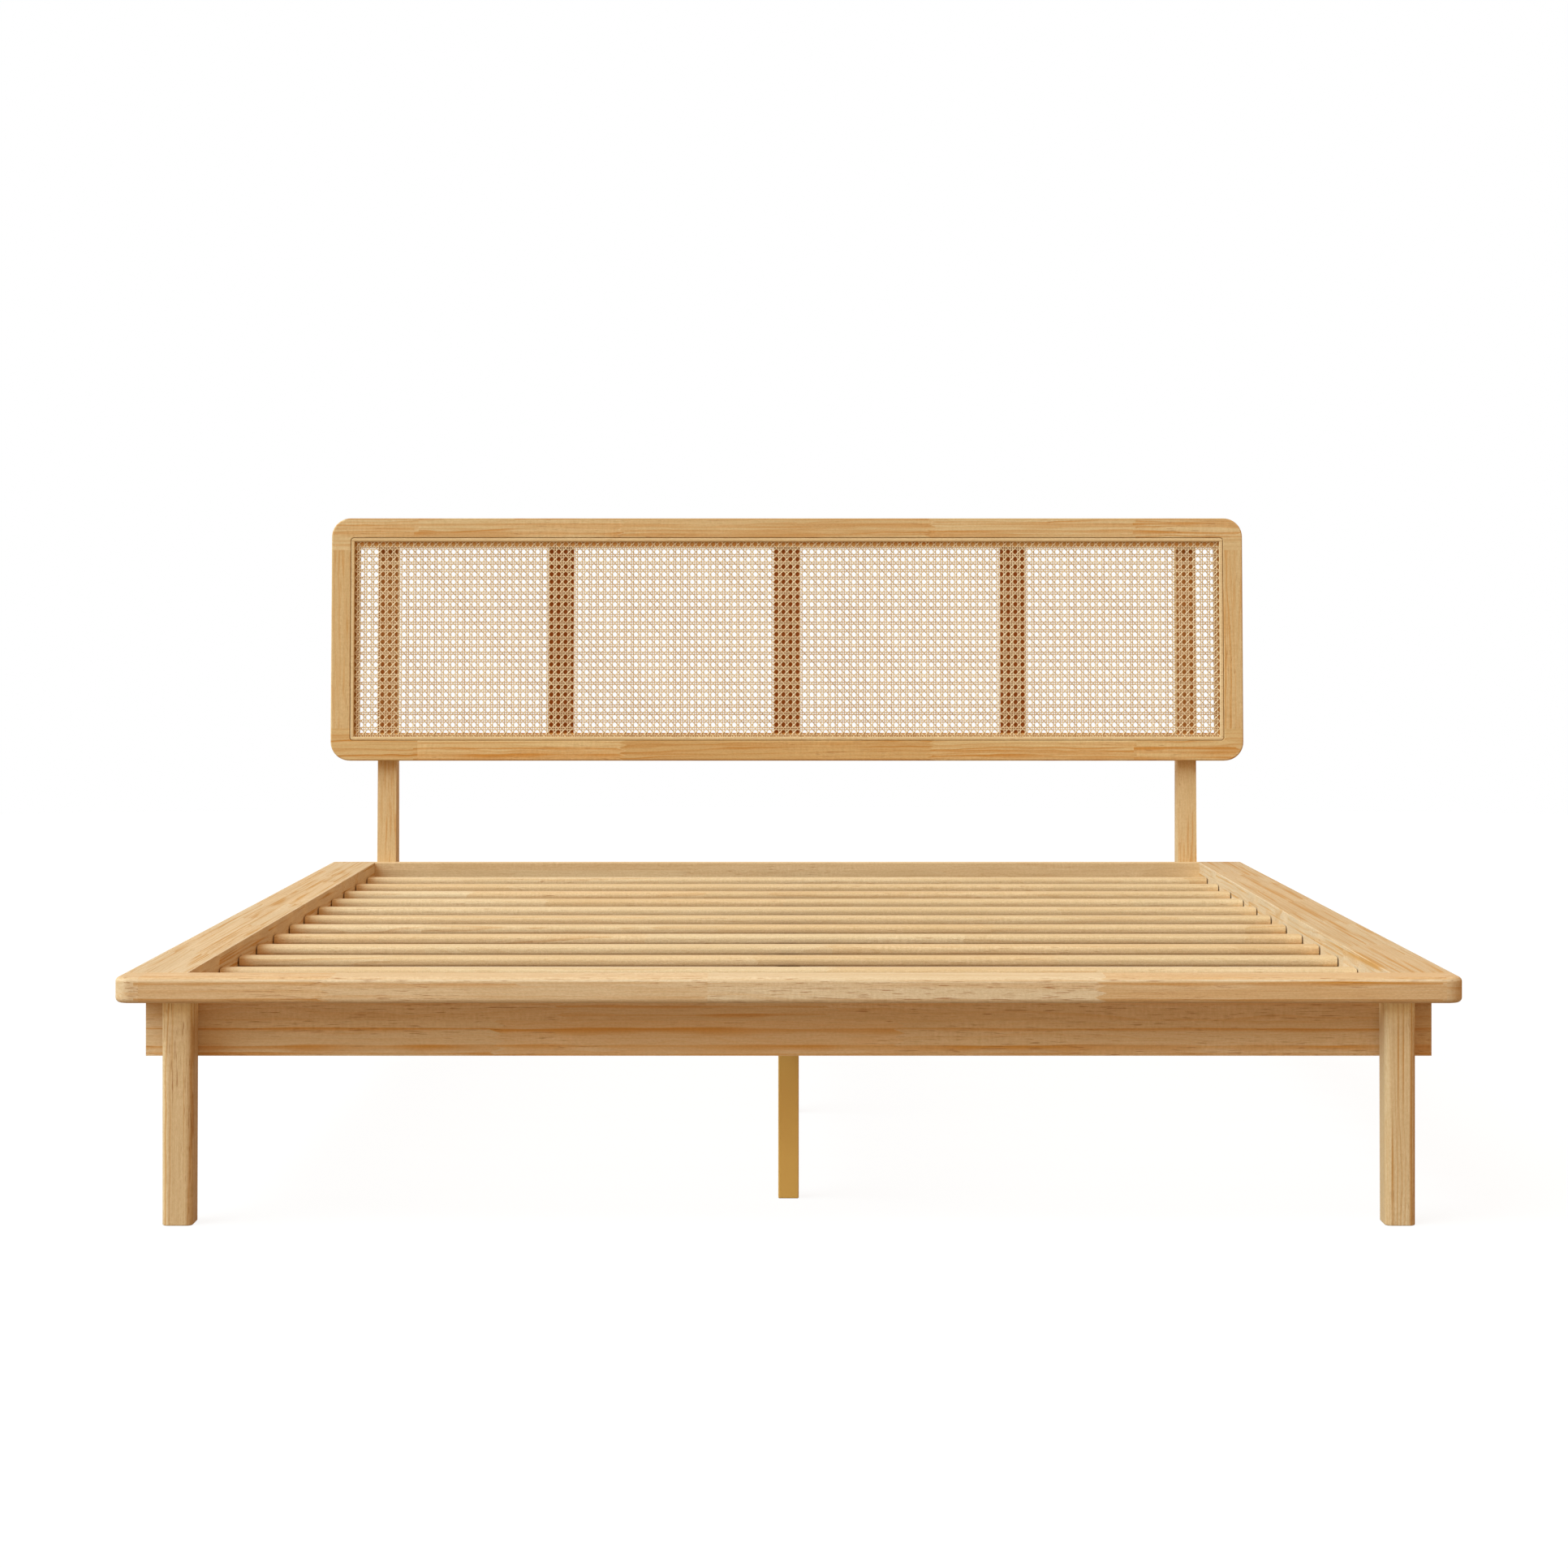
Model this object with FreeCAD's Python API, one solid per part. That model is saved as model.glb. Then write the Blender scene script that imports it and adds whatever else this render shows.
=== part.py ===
import FreeCAD, Part
import math
import os

# Platform bed with slats and a leaning cane headboard. Millimetres, +Z up.
# The origin is on the floor, under the middle of the bed's outline.
# The foot end looks towards -Y and the headboard stands at +Y. Left is -X.

# General
clearance = 0.25
overrun = 5.0
tolerance = 0.01

# Platform frame
platform_width = 1714.0
platform_length = 2142.0
deck_top = 320.0
rail_thickness = 33.0
front_rail_depth = 63.5
side_rail_width = 84.5
rear_rail_thickness = 28.0
rail_edge_radius = 6.5
rail_corner_radius = 21.0
arris_radius = 1.0

# Aprons under the rails
apron_overhang = 27.5
apron_height = 76.0
apron_thickness = 22.0

# Corner legs
leg_setback = 30.0
leg_inset = 56.5
leg_width = 40.0
leg_depth = 50.0
leg_taper = 1.0
leg_radius = 9.0
leg_foot_radius = 1.5

# Slats and what carries them
slat_count = 12
slat_width = 41.0
slat_thickness = 13.5
slat_drop = 19.5
slat_end_gap = 2.0
slat_top_radius = 7.0
slat_bottom_radius = 4.5
slat_front_margin = 74.0
slat_rear_margin = 91.5
cleat_bearing = 22.0
cleat_height = 30.0
cleat_setback = 25.0
beam_width = 33.0
beam_height = 60.0
center_leg_width = 27.4
center_leg_setback = 242.0
center_leg_edge_radius = 1.8

# Headboard frame, as wide as the platform and measured upright before it leans back
headboard_height = 456.0
headboard_lift = 190.0
headboard_thickness = 28.0
headboard_lean = 3.0
headboard_corner_radius = 35.0
headboard_edge_radius = 3.0
headboard_rail_width = 60.0
rabbet_side_margin = 36.0
rabbet_top_margin = 36.5
rabbet_bottom_margin = 37.5
rabbet_depth = 8.0
opening_side_margin = 52.0
opening_top_margin = 54.0
opening_bottom_margin = 52.0
rabbet_corner_radius = 6.0
rabbet_edge_radius = 1.5

# Cane sheet and the beads that hold it
cane_thickness = 1.6
cane_columns = 36
cane_rows = 8
cane_hole_share = 0.6
cane_edge_gap = 0.5
bead_width = 6.5
bead_height = 6.0
bead_groove = 0.7
bead_radius = 1.8

# Battens behind the cane
batten_width = 48.0
batten_thickness = 16.0
batten_offset = 426.0

# Headboard posts
post_width = 35.0
post_depth = 60.0
post_inset = 86.0
post_top_margin = 21.0
post_edge_radius = 2.0

# Bolts with washers and threaded inserts
bolt_radius = 4.0
bolt_head_radius = 7.0
bolt_head_height = 3.0
bolt_socket_radius = 2.9
bolt_socket_depth = 2.0
washer_radius = 8.0
washer_thickness = 1.6
insert_radius = 6.0
insert_length = 16.0
leg_bolt_low = 43.0
leg_bolt_pitch = 21.0
post_bolt_low = 27.0
post_bolt_pitch = 56.0
post_counterbore_depth = 12.0
post_counterbore_radius = 9.0
stud_radius = 4.0
stud_depth = 35.0

# Wood screws
screw_radius = 2.0
screw_head_radius = 4.0
countersink_depth = 2.5
head_recess = 0.3
slat_screw_length = 37.0
cleat_screw_length = 75.0
cleat_screw_count = 6
cleat_screw_lift = 10.0
apron_screw_length = 55.0
apron_screw_low = 20.0
apron_screw_pitch = 36.0
bracket_screw_length = 16.0
bracket_head_height = 2.2
frame_screw_grip = 16.0
frame_screw_length = 34.0
frame_screw_head_radius = 5.0
frame_screw_head_height = 3.5
frame_counterbore_radius = 6.5

# Dowels
dowel_radius = 4.0
dowel_length = 30.0
dowel_spare = 1.0
side_dowel_count = 5
paired_dowel_shares = (1 / 4, 3 / 4)

# Steel brackets
steel_thickness = 2.5
bracket_leg = 40.0
bracket_height = 28.0
bracket_lift = 3.0
bracket_screw_edge = 9.0
hanger_depth = 45.0
hanger_flange = 22.0
hanger_height = 46.0

# Places worked out from the sizes above
bed_length = platform_length + post_depth
front = -bed_length / 2
rear = front + platform_length
back = rear + post_depth
half_width = platform_width / 2
rail_bottom = deck_top - rail_thickness
front_rail_back = front + front_rail_depth
rear_rail_front = rear - rear_rail_thickness
rail_inner = half_width - side_rail_width
apron_outer = half_width - apron_overhang
apron_inner = apron_outer - apron_thickness
apron_bottom = rail_bottom - apron_height
leg_front = front + leg_setback
apron_front = leg_front + leg_depth
apron_back = apron_front + apron_thickness
leg_outer = half_width - leg_inset
slat_top = deck_top - slat_drop
slat_bottom = slat_top - slat_thickness
slat_half_length = rail_inner - slat_end_gap
slat_first = front_rail_back + slat_front_margin
slat_last = rear_rail_front - slat_rear_margin - slat_width
slat_pitch = (slat_last - slat_first) / (slat_count - 1)
cleat_inner = slat_half_length - cleat_bearing
cleat_front = apron_back + cleat_setback
cleat_bottom = slat_bottom - cleat_height
rear_leg_front = rear_rail_front - leg_width
beam_bottom = slat_bottom - beam_height
post_outer = half_width - post_inset
post_inner = post_outer - post_width
post_middle = (post_outer + post_inner) / 2
headboard_half = half_width
headboard_bottom = deck_top + headboard_lift
headboard_top = headboard_bottom + headboard_height
post_top = headboard_top - post_top_margin
headboard_front = rear - headboard_thickness
ledge = headboard_front + rabbet_depth
cane_front = ledge - cane_thickness
bead_front = cane_front - bead_height
front_leg_middle = leg_outer - leg_width / 2
rear_leg_middle = apron_inner - leg_depth / 2
leg_bolt_heights = [apron_bottom + leg_bolt_low + k * leg_bolt_pitch for k in range(2)]
post_bolt_heights = [apron_bottom + post_bolt_low + k * post_bolt_pitch for k in range(2)]

X_AXIS = FreeCAD.Vector(1, 0, 0)
Y_AXIS = FreeCAD.Vector(0, 1, 0)
Z_AXIS = FreeCAD.Vector(0, 0, 1)
ORIGIN = FreeCAD.Vector(0, 0, 0)
SIDES = {"left": -1, "right": 1}


# Helpers
def point(x, y, z):
    return FreeCAD.Vector(x, y, z)


def box(x0, x1, y0, y1, z0, z1):
    """A block between two corners; x0 and x1 may come in either order."""
    low = min(x0, x1)
    return Part.makeBox(abs(x1 - x0), y1 - y0, z1 - z0, point(low, y0, z0))


def rod(radius, start, direction, length):
    return Part.makeCylinder(radius, length, start, direction)


def hole(radius, start, direction, length):
    """A drilled hole with clearance, which also opens through the face that it starts on."""
    begin = start - direction * overrun
    return rod(radius + clearance, begin, direction, length + overrun + clearance)


def cut_all(shape, tools):
    return shape.cut(Part.makeCompound(tools)) if tools else shape


def mirrored(shape):
    return shape.mirror(ORIGIN, X_AXIS)


def sided(shape, side):
    """A shape drawn for the right side, or its mirror image for the left."""
    return mirrored(shape) if side == "left" else shape


def leaned(shape):
    """Turns a headboard piece, drawn upright, back about the rear top edge of the platform."""
    moved = shape.copy()
    moved.rotate(point(0, rear, deck_top), X_AXIS, -headboard_lean)
    return moved


def is_level(edge):
    return edge.BoundBox.ZLength < tolerance


def is_upright(edge):
    extent = edge.BoundBox
    return extent.ZLength > max(extent.XLength, extent.YLength)


def is_crosswise(edge):
    """True for an edge that runs along Y."""
    extent = edge.BoundBox
    return extent.YLength > max(extent.XLength, extent.ZLength)


def is_lengthwise(edge):
    """True for an edge that runs along X."""
    extent = edge.BoundBox
    return extent.XLength > max(extent.YLength, extent.ZLength)


def is_top_line(edge):
    return edge.BoundBox.ZMin > deck_top - tolerance


def is_bead_face_line(edge):
    return edge.BoundBox.YMax < bead_front + tolerance


def rounded(shape, radius, chosen):
    """Rounds the edges for which chosen(edge) is true."""
    edges = [edge for edge in shape.Edges if chosen(edge)]
    return shape.makeFillet(radius, edges)


def extruded_outline(points, direction):
    wire = Part.makePolygon(points + [points[0]])
    return Part.Face(wire).extrude(direction)


def turned(profile, start, direction):
    """A lathe-turned solid from (radius, distance along the axis) points; it starts on the axis."""
    begin = point(0, 0, profile[0][1])
    end = point(0, 0, profile[-1][1])
    corners = [point(radius, 0, along) for radius, along in profile]
    wire = Part.makePolygon([begin] + corners + [end, begin])
    solid = Part.Face(wire).revolve(ORIGIN, Z_AXIS, 360)
    solid.Placement = FreeCAD.Placement(start, FreeCAD.Rotation(Z_AXIS, direction))
    return solid


# Fasteners, each a list of places with its solids and its holes
def leg_bolt_places():
    """Where each leg bolt starts, on the face that its washer lies on, and what it passes through."""
    places = []
    for sign in SIDES.values():
        for height in leg_bolt_heights:
            places.append((point(sign * front_leg_middle, apron_back, height), apron_thickness))
            places.append((point(sign * rear_leg_middle, rear, height), rear_rail_thickness))
    return places


def post_bolt_places():
    seat = back - post_counterbore_depth
    grip = post_depth - post_counterbore_depth
    return [(point(sign * post_middle, seat, height), grip)
            for sign in SIDES.values() for height in post_bolt_heights]


def bolt(seat, grip):
    """A flat-headed bolt along -Y, with its washer between the head and the seat."""
    under_head = seat + Y_AXIS * washer_thickness
    shank_length = washer_thickness + grip + insert_length - clearance
    profile = [(bolt_head_radius, -bolt_head_height), (bolt_head_radius, 0),
               (bolt_radius, 0), (bolt_radius, shank_length)]
    corners = []
    for k in range(6):
        angle = math.radians(60 * k)
        across = X_AXIS * (bolt_socket_radius * math.cos(angle))
        upward = Z_AXIS * (bolt_socket_radius * math.sin(angle))
        corners.append(under_head + Y_AXIS * (bolt_head_height - bolt_socket_depth) + across + upward)
    socket = extruded_outline(corners, Y_AXIS * (bolt_socket_depth + overrun))
    return turned(profile, under_head, -Y_AXIS).cut(socket)


def washer(seat):
    disc = rod(washer_radius, seat, Y_AXIS, washer_thickness)
    return disc.cut(hole(bolt_radius, seat, Y_AXIS, washer_thickness + overrun))


def threaded_insert(seat, grip):
    """A sleeve let into the wood behind the face that the bolt passes into."""
    mouth = seat - Y_AXIS * grip
    sleeve = rod(insert_radius, mouth, -Y_AXIS, insert_length)
    return sleeve.cut(hole(bolt_radius, mouth, -Y_AXIS, insert_length + overrun))


def bolt_holes(places):
    """The bolt's way through the first piece and the insert's pocket in the next."""
    holes = []
    for seat, grip in places:
        mouth = seat - Y_AXIS * grip
        holes.append(rod(bolt_radius + clearance, seat + Y_AXIS * overrun, -Y_AXIS, grip + overrun))
        holes.append(rod(insert_radius + clearance, mouth, -Y_AXIS, insert_length + clearance))
    return holes


def countersunk_screw(start, direction, length):
    """A flat-headed wood screw whose head lies just under the surface at start."""
    profile = [(screw_head_radius, head_recess), (screw_radius, head_recess + countersink_depth),
               (screw_radius, head_recess + length)]
    return turned(profile, start, direction)


def countersunk_hole(start, direction, length):
    wide = screw_head_radius + clearance
    narrow = screw_radius + clearance
    profile = [(wide, -overrun), (wide, head_recess), (narrow, head_recess + countersink_depth),
               (narrow, head_recess + length + clearance)]
    return turned(profile, start, direction)


def pan_screw(start, direction, length):
    profile = [(screw_head_radius, -bracket_head_height), (screw_head_radius, 0),
               (screw_radius, 0), (screw_radius, length)]
    return turned(profile, start, direction)


def slat_front(index):
    return slat_first + index * slat_pitch


def slat_screw_places(index):
    """Screws that rise through the cleats into the two ends of a slat."""
    middle = slat_front(index) + slat_width / 2
    end = slat_half_length - cleat_bearing / 2
    return [point(x, middle, cleat_bottom) for x in (-end, end)]


def all_slat_screw_places():
    return [place for index in range(slat_count) for place in slat_screw_places(index)]


def cleat_screw_places(side):
    sign = SIDES[side]
    height = cleat_bottom + cleat_screw_lift
    step = (rear_leg_front - cleat_front) / cleat_screw_count
    first = cleat_front + step / 2
    return [(point(sign * cleat_inner, first + k * step, height), X_AXIS * sign)
            for k in range(cleat_screw_count)]


def apron_screw_places():
    middle = apron_outer - apron_thickness / 2
    return [point(sign * middle, rear, apron_bottom + apron_screw_low + k * apron_screw_pitch)
            for sign in SIDES.values() for k in range(2)]


def bracket_screw_places():
    """Pan-head screws through the corner brackets: start point, direction."""
    places = []
    height = apron_bottom + bracket_lift + bracket_height / 2
    for sign in SIDES.values():
        for reach in (bracket_leg / 2, bracket_leg - bracket_screw_edge):
            on_front = point(sign * (apron_inner - reach), apron_back + steel_thickness, height)
            on_side = point(sign * (apron_inner - steel_thickness), apron_back + reach, height)
            places.append((on_front, -Y_AXIS))
            places.append((on_side, X_AXIS * sign))
    return places


def hanger_screw_places():
    """Pan-head screws through the flanges of the two beam hangers."""
    places = []
    across = beam_width / 2 + steel_thickness + hanger_flange / 2
    for sign in SIDES.values():
        for height in (beam_bottom + bracket_screw_edge, beam_bottom + hanger_height - bracket_screw_edge):
            places.append((point(sign * across, apron_back + steel_thickness, height), -Y_AXIS))
            places.append((point(sign * across, rear_rail_front - steel_thickness, height), Y_AXIS))
    return places


def metal_screw_places():
    return bracket_screw_places() + hanger_screw_places()


def metal_screw_holes():
    return [hole(screw_radius, start, direction, bracket_screw_length)
            for start, direction in metal_screw_places()]


def rail_dowel_places():
    """Dowels between pieces of the platform: middle point and direction."""
    places = []
    apron_middle = apron_outer - apron_thickness / 2
    step = (rear_rail_front - apron_back) / side_dowel_count
    rail_middle = rail_bottom + rail_thickness / 2
    for sign in SIDES.values():
        for k in range(side_dowel_count):
            places.append((point(sign * apron_middle, apron_back + (k + 1 / 2) * step, rail_bottom), Z_AXIS))
        leg_spot = (leg_front + front_rail_back) / 2
        places.append((point(sign * front_leg_middle, leg_spot, rail_bottom), Z_AXIS))
        shoulder_spot = (rail_inner + apron_outer) / 2
        places.append((point(sign * shoulder_spot, rear - rear_rail_thickness / 2, rail_bottom), Z_AXIS))
        for share in paired_dowel_shares:
            across = rail_inner + share * side_rail_width
            places.append((point(sign * across, front_rail_back, rail_middle), Y_AXIS))
    return places


def headboard_dowel_places():
    """Dowels of the headboard frame and its battens, upright before it leans: middle points."""
    places = []
    middle = rear - headboard_thickness / 2
    batten_middle = rear - batten_thickness / 2
    low_joint = headboard_bottom + headboard_rail_width
    high_joint = headboard_top - headboard_rail_width
    for sign in SIDES.values():
        for share in paired_dowel_shares:
            across = headboard_half - share * rabbet_side_margin
            places.append(point(sign * across, middle, low_joint))
            places.append(point(sign * across, middle, high_joint))
    for across in (-batten_offset, 0, batten_offset):
        places.append(point(across, batten_middle, headboard_bottom + opening_bottom_margin))
        places.append(point(across, batten_middle, headboard_top - opening_top_margin))
    return places


def dowel(middle, direction):
    return rod(dowel_radius, middle - direction * (dowel_length / 2), direction, dowel_length)


def dowel_hole(middle, direction):
    reach = dowel_length / 2 + dowel_spare
    return rod(dowel_radius + clearance, middle - direction * reach, direction, reach * 2)


def rail_dowel_holes():
    return [dowel_hole(middle, direction) for middle, direction in rail_dowel_places()]


def headboard_dowel_holes():
    return [dowel_hole(middle, Z_AXIS) for middle in headboard_dowel_places()]


def frame_screw_places():
    """Screws from behind the posts into the headboard rails, upright: points on the frame's back."""
    heights = (headboard_bottom + headboard_rail_width / 2, headboard_top - opening_top_margin / 2)
    return [point(sign * post_middle, rear, height) for sign in SIDES.values() for height in heights]


def frame_screw(place):
    seat = place + Y_AXIS * frame_screw_grip
    profile = [(frame_screw_head_radius, -frame_screw_head_height), (frame_screw_head_radius, 0),
               (screw_radius, 0), (screw_radius, frame_screw_length)]
    return leaned(turned(profile, seat, -Y_AXIS))


def frame_screw_hole(place):
    """The screw's shaft and its counterbore, which opens through the back of the post."""
    seat = place + Y_AXIS * frame_screw_grip
    narrow = screw_radius + clearance
    profile = [(frame_counterbore_radius, -post_depth), (frame_counterbore_radius, 0),
               (narrow, 0), (narrow, frame_screw_length + clearance)]
    return turned(profile, seat, -Y_AXIS)


def center_leg_middles():
    first = front + center_leg_setback + center_leg_width / 2
    middle = front + platform_length / 2
    return {"front": first, "middle": middle, "rear": 2 * middle - first}


def stud_places():
    return [point(0, middle, beam_bottom) for middle in center_leg_middles().values()]


def stud_holes():
    return [rod(stud_radius + clearance, place - Z_AXIS * (stud_depth + dowel_spare), Z_AXIS,
                (stud_depth + dowel_spare) * 2) for place in stud_places()]


# Platform frame
def front_rail():
    """The foot-end rail, rounded in plan at its two front corners and eased along its outer edges."""
    rail = box(-half_width, half_width, front, front_rail_back, rail_bottom, deck_top)
    rail = rounded(rail, rail_corner_radius, lambda e: is_upright(e) and e.BoundBox.YMax < front_rail_back)
    rail = rounded(rail, rail_edge_radius,
                   lambda e: is_level(e) and e.BoundBox.YMin < front_rail_back - tolerance)
    return cut_all(rail, rail_dowel_holes())


def side_rail(side):
    rail = box(rail_inner, half_width, front_rail_back, rear, rail_bottom, deck_top)
    rail = rounded(rail, rail_edge_radius,
                   lambda e: is_level(e) and e.BoundBox.XMin > half_width - tolerance)
    rail = rounded(rail, arris_radius, lambda e: e.BoundBox.XMax < rail_inner + tolerance and is_top_line(e))
    return cut_all(sided(rail, side), rail_dowel_holes())


def rear_rail():
    """The board at the headboard end, notched so that the side rails rest on its shoulders."""
    lower = box(-apron_outer, apron_outer, rear_rail_front, rear, apron_bottom, rail_bottom)
    upper = box(-rail_inner, rail_inner, rear_rail_front, rear, rail_bottom, deck_top)
    board = lower.fuse(upper).removeSplitter()
    board = rounded(board, arris_radius,
                    lambda e: e.BoundBox.YMax < rear_rail_front + tolerance and is_top_line(e))
    screws = [countersunk_hole(place, -Y_AXIS, apron_screw_length) for place in apron_screw_places()]
    bolts = bolt_holes(leg_bolt_places()) + bolt_holes(post_bolt_places())
    return cut_all(board, rail_dowel_holes() + screws + bolts + metal_screw_holes())


def front_apron():
    board = box(-apron_outer, apron_outer, apron_front, apron_back, apron_bottom, rail_bottom)
    return cut_all(board, bolt_holes(leg_bolt_places()) + metal_screw_holes())


def side_apron(side):
    board = box(apron_inner, apron_outer, apron_back, rear_rail_front, apron_bottom, rail_bottom)
    screws = [countersunk_hole(place, -Y_AXIS, apron_screw_length) for place in apron_screw_places()]
    cleat_screws = [countersunk_hole(place, direction, cleat_screw_length)
                    for place, direction in cleat_screw_places(side)]
    return cut_all(sided(board, side), rail_dowel_holes() + screws + cleat_screws + metal_screw_holes())


# Legs
def leg_blank(width, depth):
    """A leg whose outer side is upright and whose inner side draws in a little towards the foot."""
    outline = [point(0, 0, 0), point(leg_taper - width, 0, 0),
               point(-width, 0, rail_bottom), point(0, 0, rail_bottom)]
    blank = extruded_outline(outline, Y_AXIS * depth)
    blank = rounded(blank, leg_radius, is_upright)
    return rounded(blank, leg_foot_radius, lambda e: is_level(e) and e.BoundBox.ZMax < tolerance)


def front_leg(side):
    blank = leg_blank(leg_width, leg_depth)
    blank.translate(point(leg_outer, leg_front, 0))
    return cut_all(sided(blank, side), bolt_holes(leg_bolt_places()) + rail_dowel_holes())


def rear_leg(side):
    """The same leg turned to fill the corner between the side apron and the rear board."""
    blank = leg_blank(leg_depth, leg_width)
    blank.translate(point(apron_inner, rear_leg_front, 0))
    return cut_all(sided(blank, side), bolt_holes(leg_bolt_places()))


def center_leg(middle):
    half = center_leg_width / 2
    leg = box(-half, half, middle - half, middle + half, 0, beam_bottom)
    leg = rounded(leg, center_leg_edge_radius, lambda e: e.BoundBox.ZMin < tolerance)
    return cut_all(leg, stud_holes())


# Slats, cleats and beam
def slat(index):
    start = slat_front(index)
    board = box(-slat_half_length, slat_half_length, start, start + slat_width, slat_bottom, slat_top)
    board = rounded(board, slat_top_radius,
                    lambda e: is_lengthwise(e) and e.BoundBox.ZMin > slat_top - tolerance)
    board = rounded(board, slat_bottom_radius,
                    lambda e: is_lengthwise(e) and e.BoundBox.ZMax < slat_bottom + tolerance)
    screws = [countersunk_hole(place, Z_AXIS, slat_screw_length) for place in slat_screw_places(index)]
    return cut_all(board, screws)


def slat_cleat(side):
    cleat = box(cleat_inner, apron_inner, cleat_front, rear_leg_front, cleat_bottom, slat_bottom)
    slat_screws = [countersunk_hole(place, Z_AXIS, slat_screw_length) for place in all_slat_screw_places()]
    own_screws = [countersunk_hole(place, direction, cleat_screw_length)
                  for place, direction in cleat_screw_places(side)]
    return cut_all(sided(cleat, side), slat_screws + own_screws)


def center_beam():
    half = beam_width / 2
    beam = box(-half, half, apron_back, rear_rail_front, beam_bottom, slat_bottom)
    return cut_all(beam, stud_holes())


# Steel brackets
def corner_bracket(side):
    """An angle in the front corner, between the front apron and the side apron."""
    low = apron_bottom + bracket_lift
    high = low + bracket_height
    corner = apron_inner
    on_front = box(corner - bracket_leg, corner, apron_back, apron_back + steel_thickness, low, high)
    on_side = box(corner - steel_thickness, corner, apron_back, apron_back + bracket_leg, low, high)
    angle = on_front.fuse(on_side).removeSplitter()
    return cut_all(sided(angle, side), metal_screw_holes())


def beam_hanger(near, into):
    """A hat-shaped hanger for one end of the beam; near is the face it is screwed to."""
    half = beam_width / 2
    low = beam_bottom - steel_thickness
    high = low + hanger_height
    flange_y = sorted((near, near + into * steel_thickness))
    pocket_y = sorted((near, near + into * hanger_depth))
    pieces = [box(-half - steel_thickness, half + steel_thickness, *pocket_y, low, beam_bottom)]
    for sign in SIDES.values():
        cheek = sign * (half + steel_thickness)
        pieces.append(box(sign * half, cheek, *pocket_y, low, high))
        pieces.append(box(cheek, cheek + sign * hanger_flange, *flange_y, low, high))
    hanger = pieces[0].fuse(pieces[1:]).removeSplitter()
    return cut_all(hanger, metal_screw_holes())


# Headboard frame
def headboard_blank():
    """The whole frame as one ring: rounded outline, opening, and the rabbet for the cane."""
    outline = box(-headboard_half, headboard_half, headboard_front, rear, headboard_bottom, headboard_top)
    outline = rounded(outline, headboard_corner_radius, is_crosswise)
    outline = rounded(outline, headboard_edge_radius, lambda e: e.BoundBox.YLength < tolerance)
    opening_half = headboard_half - opening_side_margin
    opening = box(-opening_half, opening_half, headboard_front - overrun, rear + overrun,
                  headboard_bottom + opening_bottom_margin, headboard_top - opening_top_margin)
    rabbet_half = headboard_half - rabbet_side_margin
    rabbet = box(-rabbet_half, rabbet_half, headboard_front - overrun, ledge,
                 headboard_bottom + rabbet_bottom_margin, headboard_top - rabbet_top_margin)
    rabbet = rounded(rabbet, rabbet_corner_radius, is_crosswise)
    ring = outline.cut([opening, rabbet])
    mouth = rabbet.BoundBox
    mouth.enlarge(tolerance)
    return rounded(ring, rabbet_edge_radius,
                   lambda e: mouth.isInside(e.BoundBox) and e.BoundBox.YMax < headboard_front + tolerance)


def headboard_frame():
    """The ring parted into two long rails and the two stiles between them."""
    ring = headboard_blank()
    reach = headboard_half + overrun
    low_joint = headboard_bottom + headboard_rail_width
    high_joint = headboard_top - headboard_rail_width
    y0 = headboard_front - overrun
    y1 = rear + overrun
    zones = {
        "headboard_bottom_rail": box(-reach, reach, y0, y1, headboard_bottom - overrun, low_joint),
        "headboard_top_rail": box(-reach, reach, y0, y1, high_joint, headboard_top + overrun),
        "headboard_stile_left": box(-reach, 0, y0, y1, low_joint, high_joint),
        "headboard_stile_right": box(0, reach, y0, y1, low_joint, high_joint),
    }
    holes = headboard_dowel_holes() + [frame_screw_hole(place) for place in frame_screw_places()]
    return {name: leaned(cut_all(ring.common(zone), holes)) for name, zone in zones.items()}


def batten(across):
    half = batten_width / 2
    strip = box(across - half, across + half, rear - batten_thickness, rear,
                headboard_bottom + opening_bottom_margin, headboard_top - opening_top_margin)
    return leaned(cut_all(strip, headboard_dowel_holes()))


# Cane sheet and beads
def octagon(x, z, half_x, half_z):
    """An eight-sided gap of the cane with flat sides left, right, above and below."""
    stretch = 1 / math.cos(math.radians(45 / 2))
    corners = []
    for k in range(8):
        angle = math.radians(45 * (k + 1 / 2))
        across = half_x * stretch * math.cos(angle)
        upward = half_z * stretch * math.sin(angle)
        corners.append(point(x + across, cane_front, z + upward))
    return Part.makePolygon(corners + [corners[0]])


def cane_panel():
    """The open cane sheet as one holed face, as thick as the woven strands."""
    half = headboard_half - rabbet_side_margin - cane_edge_gap
    low = headboard_bottom + rabbet_bottom_margin + cane_edge_gap
    high = headboard_top - rabbet_top_margin - cane_edge_gap
    blank = box(-half, half, cane_front, ledge, low, high)
    blank = rounded(blank, rabbet_corner_radius, is_crosswise)
    front_face = min(blank.Faces, key=lambda face: face.CenterOfMass.y)
    hidden = bead_groove + bead_width
    net_half = headboard_half - rabbet_side_margin - hidden
    net_low = headboard_bottom + rabbet_bottom_margin + hidden
    net_high = headboard_top - rabbet_top_margin - hidden
    pitch_x = 2 * net_half / cane_columns
    pitch_z = (net_high - net_low) / cane_rows
    gaps = []
    for column in range(cane_columns):
        for row in range(cane_rows):
            x = -net_half + (column + 1 / 2) * pitch_x
            z = net_low + (row + 1 / 2) * pitch_z
            gaps.append(octagon(x, z, pitch_x * cane_hole_share / 2, pitch_z * cane_hole_share / 2))
    net = Part.Face([front_face.OuterWire] + gaps)
    net.validate()
    return leaned(net.extrude(Y_AXIS * cane_thickness))


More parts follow.
